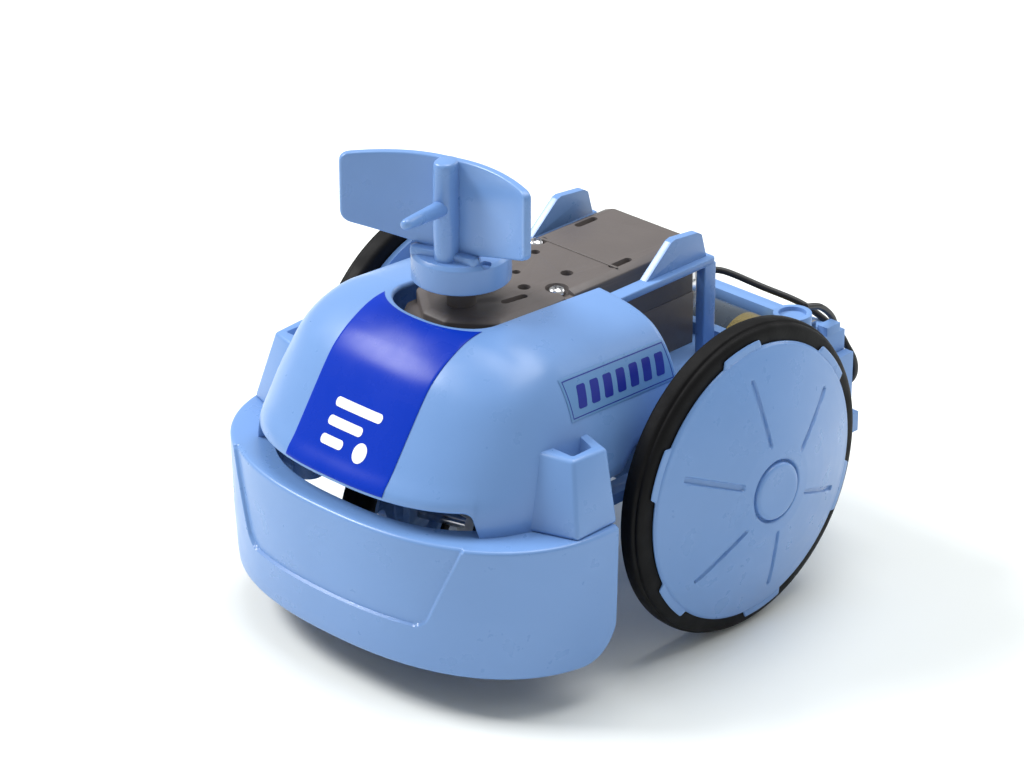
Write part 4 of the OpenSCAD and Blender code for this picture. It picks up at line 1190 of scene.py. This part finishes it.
hub_l = mirror_sw(hub_r, "drive_hub_body_left")
dty_l = mirror_sw(dty_r, "drive_tyre_ring_left")
for o, nn, sl in ((hub_r, "drive_hub_right", "blue_plastic"), (hub_l, "drive_hub_left", "blue_plastic"), (dty_r, "drive_tyre_right", "black_rubber"), (dty_l, "drive_tyre_left", "black_rubber")):
    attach(o, "drive_wheels"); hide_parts(nn)

# ------------------------------------------------------------------ leads
def cr_path(p, k):
    out = []
    n = len(p)
    for i in range(n - 1):
        p0, p1, p2, p3 = (np.array(p[max(0, i - 1)]), np.array(p[i]), np.array(p[i + 1]), np.array(p[min(n - 1, i + 2)]))
        for j in range(k):
            t = j / k
            out.append(0.5 * (2 * p1 + (p2 - p0) * t + (2 * p0 - 5 * p1 + 4 * p2 - p3) * t * t + (3 * p1 - p0 - 3 * p2 + p3) * t ** 3))
    out.append(np.array(p[-1]))
    return out


def lead(name, pts, r, mat, node):
    P = cr_path(pts, 14)
    rings = []
    up = np.array([0.31, 0.22, 0.92])
    for i, p in enumerate(P):
        t = P[min(i + 1, len(P) - 1)] - P[max(i - 1, 0)]
        t /= np.linalg.norm(t)
        if i == 0:
            u = np.cross(t, up)
        else:
            u = u - t * (u @ t)
        u /= np.linalg.norm(u)
        v = np.cross(t, u)
        rings.append([tuple(p + r * (math.cos(2 * math.pi * k / 20) * u + math.sin(2 * math.pi * k / 20) * v)) for k in range(20)])
    ob = loft(name, rings, [mat], closed=True, caps=True, sharp=60)
    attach(ob, "chassis"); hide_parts(node)
    return ob


BLK = [[6.6, 27.3, 51.5], [9, 30, 51], [15, 33.6, 48.6], [22, 37.6, 45.8], [28, 40.2, 41.6], [30.6, 40.4, 39], [31.7, 41.1, 36.4],
       [31.8, 41.3, 33.8], [30.9, 41, 31.9], [29.2, 40.6, 31.6], [28, 40.4, 33.6], [27.6, 40.4, 38], [27.4, 39.9, 43.6], [27.4, 36, 47.6], [27.5, 31.4, 49.2]]
RED = [[-6.6, 27.3, 51.5], [-9, 29.4, 51], [-15.5, 28.4, 49], [-20.5, 24, 46], [-21.3, 21, 44.2], [-21.3, 19, 43.4]]
SWL = [[-24.7, 19, 43.4], [-24.7, 21, 44.4], [-24.3, 23.6, 46.8], [-24, 27, 49.4], [-25.4, 29.6, 50.2], [-27, 30.4, 49.2]]
lead("motor_lead_tube_black", BLK, 0.64, m_leadb, "motor_lead_black")
lead("motor_lead_tube_red", RED, 0.64, m_leadr, "motor_lead_red")
lead("switch_lead_tube", SWL, 0.64, m_leadr, "switch_lead")

# ------------------------------------------------------------------ softened copies of the other CAD pieces
NB = {n: bd for bd, ns in frame["record"]["behaviour"]["bodies"].items() for n in ns}
soft = {"chassis": (0.25, m_blue_in), "battery_holder": (0.25, m_blue_in), "gearbox_lower_case": (0.15, m_grey), "swivel_frame": (0.2, m_blue_in),
        "wheel_back_left": (0.2, m_blue), "wheel_back_right": (0.2, m_blue), "switch_base": (0.2, m_blackp), "switch_lever": (0.15, m_nylon),
        "motor_can": (0.3, m_steel), "motor_end_bell": (0.3, m_nylon), "axle_collars": (0.15, m_steel), "drive_axle": (0.2, m_steel), "main_axle": (0.25, m_steel)}
plain = {"deck_screws": m_steel, "gear_arbor": m_steel, "motor_terminals": m_brass, "motor_pinion": m_brass, "crown_gear": m_nylon, "second_gear": m_nylon,
         "third_gear": m_nylon, "output_gear": m_nylon, "drive_pinion": m_nylon, "spindle": m_steel, "axle_crown_gear": m_nylon, "battery_contacts": m_steel}
for n_, (w, mat) in soft.items():
    o = softened(n_, w, mats=[mat])
    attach(o, NB[n_]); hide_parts(n_)
for n_, mat in plain.items():
    nodes[n_].data.materials.clear()
    nodes[n_].data.materials.append(mat)

# battery cell with its sleeve, bands and button; and a coiled spring
cz, cy = 36.5, 30.0
cellp = [(0, -24.2), (5.6, -24.2), (6.4, -24.1), (6.9, -23.7), (7.1, -23.2), (7.1, -10), (7.1, 13.2), (7.1, 23.7), (6.95, 24.2), (6.5, 24.55), (2.75, 24.6), (2.7, 24.75), (2.7, 25.6), (2.5, 25.95), (0, 26)]
cell = lathe("battery_cell_body", cellp, [m_cell, m_gold, m_steel], (0, cy, cz), "x", 96, close=False, sharp=35)
for p in cell.data.polygons:
    x = p.center.x * 1000
    p.material_index = 2 if (x > 23.9 or x < -23.3) else (1 if x > 13.3 else 0)
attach(cell, NB["battery_cell"]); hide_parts("battery_cell")
P = []
for i in range(0, 241):
    f = i / 240
    a = 2 * math.pi * 4 * f
    r = 3.7 - 1.5 * f
    P.append(np.array([-26.9 + 2.5 * f, cy + r * math.cos(a), cz + r * math.sin(a)]))
rings = []
for i, p in enumerate(P):
    t = P[min(i + 1, 240)] - P[max(i - 1, 0)]
    t /= np.linalg.norm(t)
    u = np.cross(t, [1, 0, 0.01]); u /= np.linalg.norm(u)
    v = np.cross(t, u)
    rings.append([tuple(p + 0.3 * (math.cos(2 * math.pi * k / 12) * u + math.sin(2 * math.pi * k / 12) * v)) for k in range(12)])
spring = loft("battery_coil_spring", rings, [m_steel], closed=True, caps=True, sharp=60)
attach(spring, NB["battery_spring"]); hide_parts("battery_spring")

# ------------------------------------------------------------------ stage
def area(name, loc, target, size, power, color=(1, 1, 1)):
    ld = bpy.data.lights.new(name, "AREA")
    ld.shape = "RECTANGLE"
    ld.size, ld.size_y = size
    ld.energy = power
    ld.color = color
    o = bpy.data.objects.new(name, ld)
    bpy.context.scene.collection.objects.link(o)
    o.location = loc
    d = Vector(target) - Vector(loc)
    o.rotation_euler = d.to_track_quat("-Z", "Y").to_euler()
    return o


fme = bpy.data.meshes.new("studio_floor")
fme.from_pydata([(-6, -6, 0), (6, -6, 0), (6, 6, 0), (-6, 6, 0)], [], [(0, 1, 2, 3)])
floor = bpy.data.objects.new("studio_floor", fme)
bpy.context.scene.collection.objects.link(floor)
m_floor, nt, b = new_mat("floor_paper", (0.86, 0.89, 0.88), 0.5, 0.4)
add_detail(m_floor, nt, b, (0.86, 0.89, 0.88), 0.004, (0.42, 0.5), (900, 0.02), 0.00002, (3, 0.02))
fme.materials.append(m_floor)

bpy.context.scene.view_settings.view_transform = "Standard"
world = bpy.data.worlds.new("studio_world")
bpy.context.scene.world = world
world.use_nodes = True
world.node_tree.nodes["Background"].inputs[0].default_value = (0.96, 0.985, 0.98, 1)
world.node_tree.nodes["Background"].inputs[1].default_value = 0.46
area("key_light", (-1.05, -0.55, 1.25), (0, 0, 0.03), (0.7, 0.5), 29.0, (1.0, 0.99, 0.98))
area("top_light", (0.05, 0.35, 1.5), (0, 0, 0.03), (1.2, 0.9), 16.0)
area("back_light", (0.3, 1.3, 0.7), (0, 0, 0.05), (0.8, 0.4), 4.0)

az, el = math.radians(44.21), math.radians(25.94)
right = Vector((math.cos(az), math.sin(az), 0))
back = Vector((math.sin(az) * math.cos(el), -math.cos(az) * math.cos(el), math.sin(el)))
up = back.cross(right)
cam = bpy.data.cameras.new("camera")
cam.sensor_width = 36
cam.lens = 36 * 4073.04 / 1024
cam.clip_start, cam.clip_end = 0.01, 50
co = bpy.data.objects.new("camera", cam)
bpy.context.scene.collection.objects.link(co)
co.matrix_world = Matrix((
    (right.x, up.x, back.x, 0.466237), (right.y, up.y, back.y, -0.497581 + AY * 0.001),
    (right.z, up.z, back.z, 0.366567), (0, 0, 0, 1)))
bpy.context.scene.camera = co
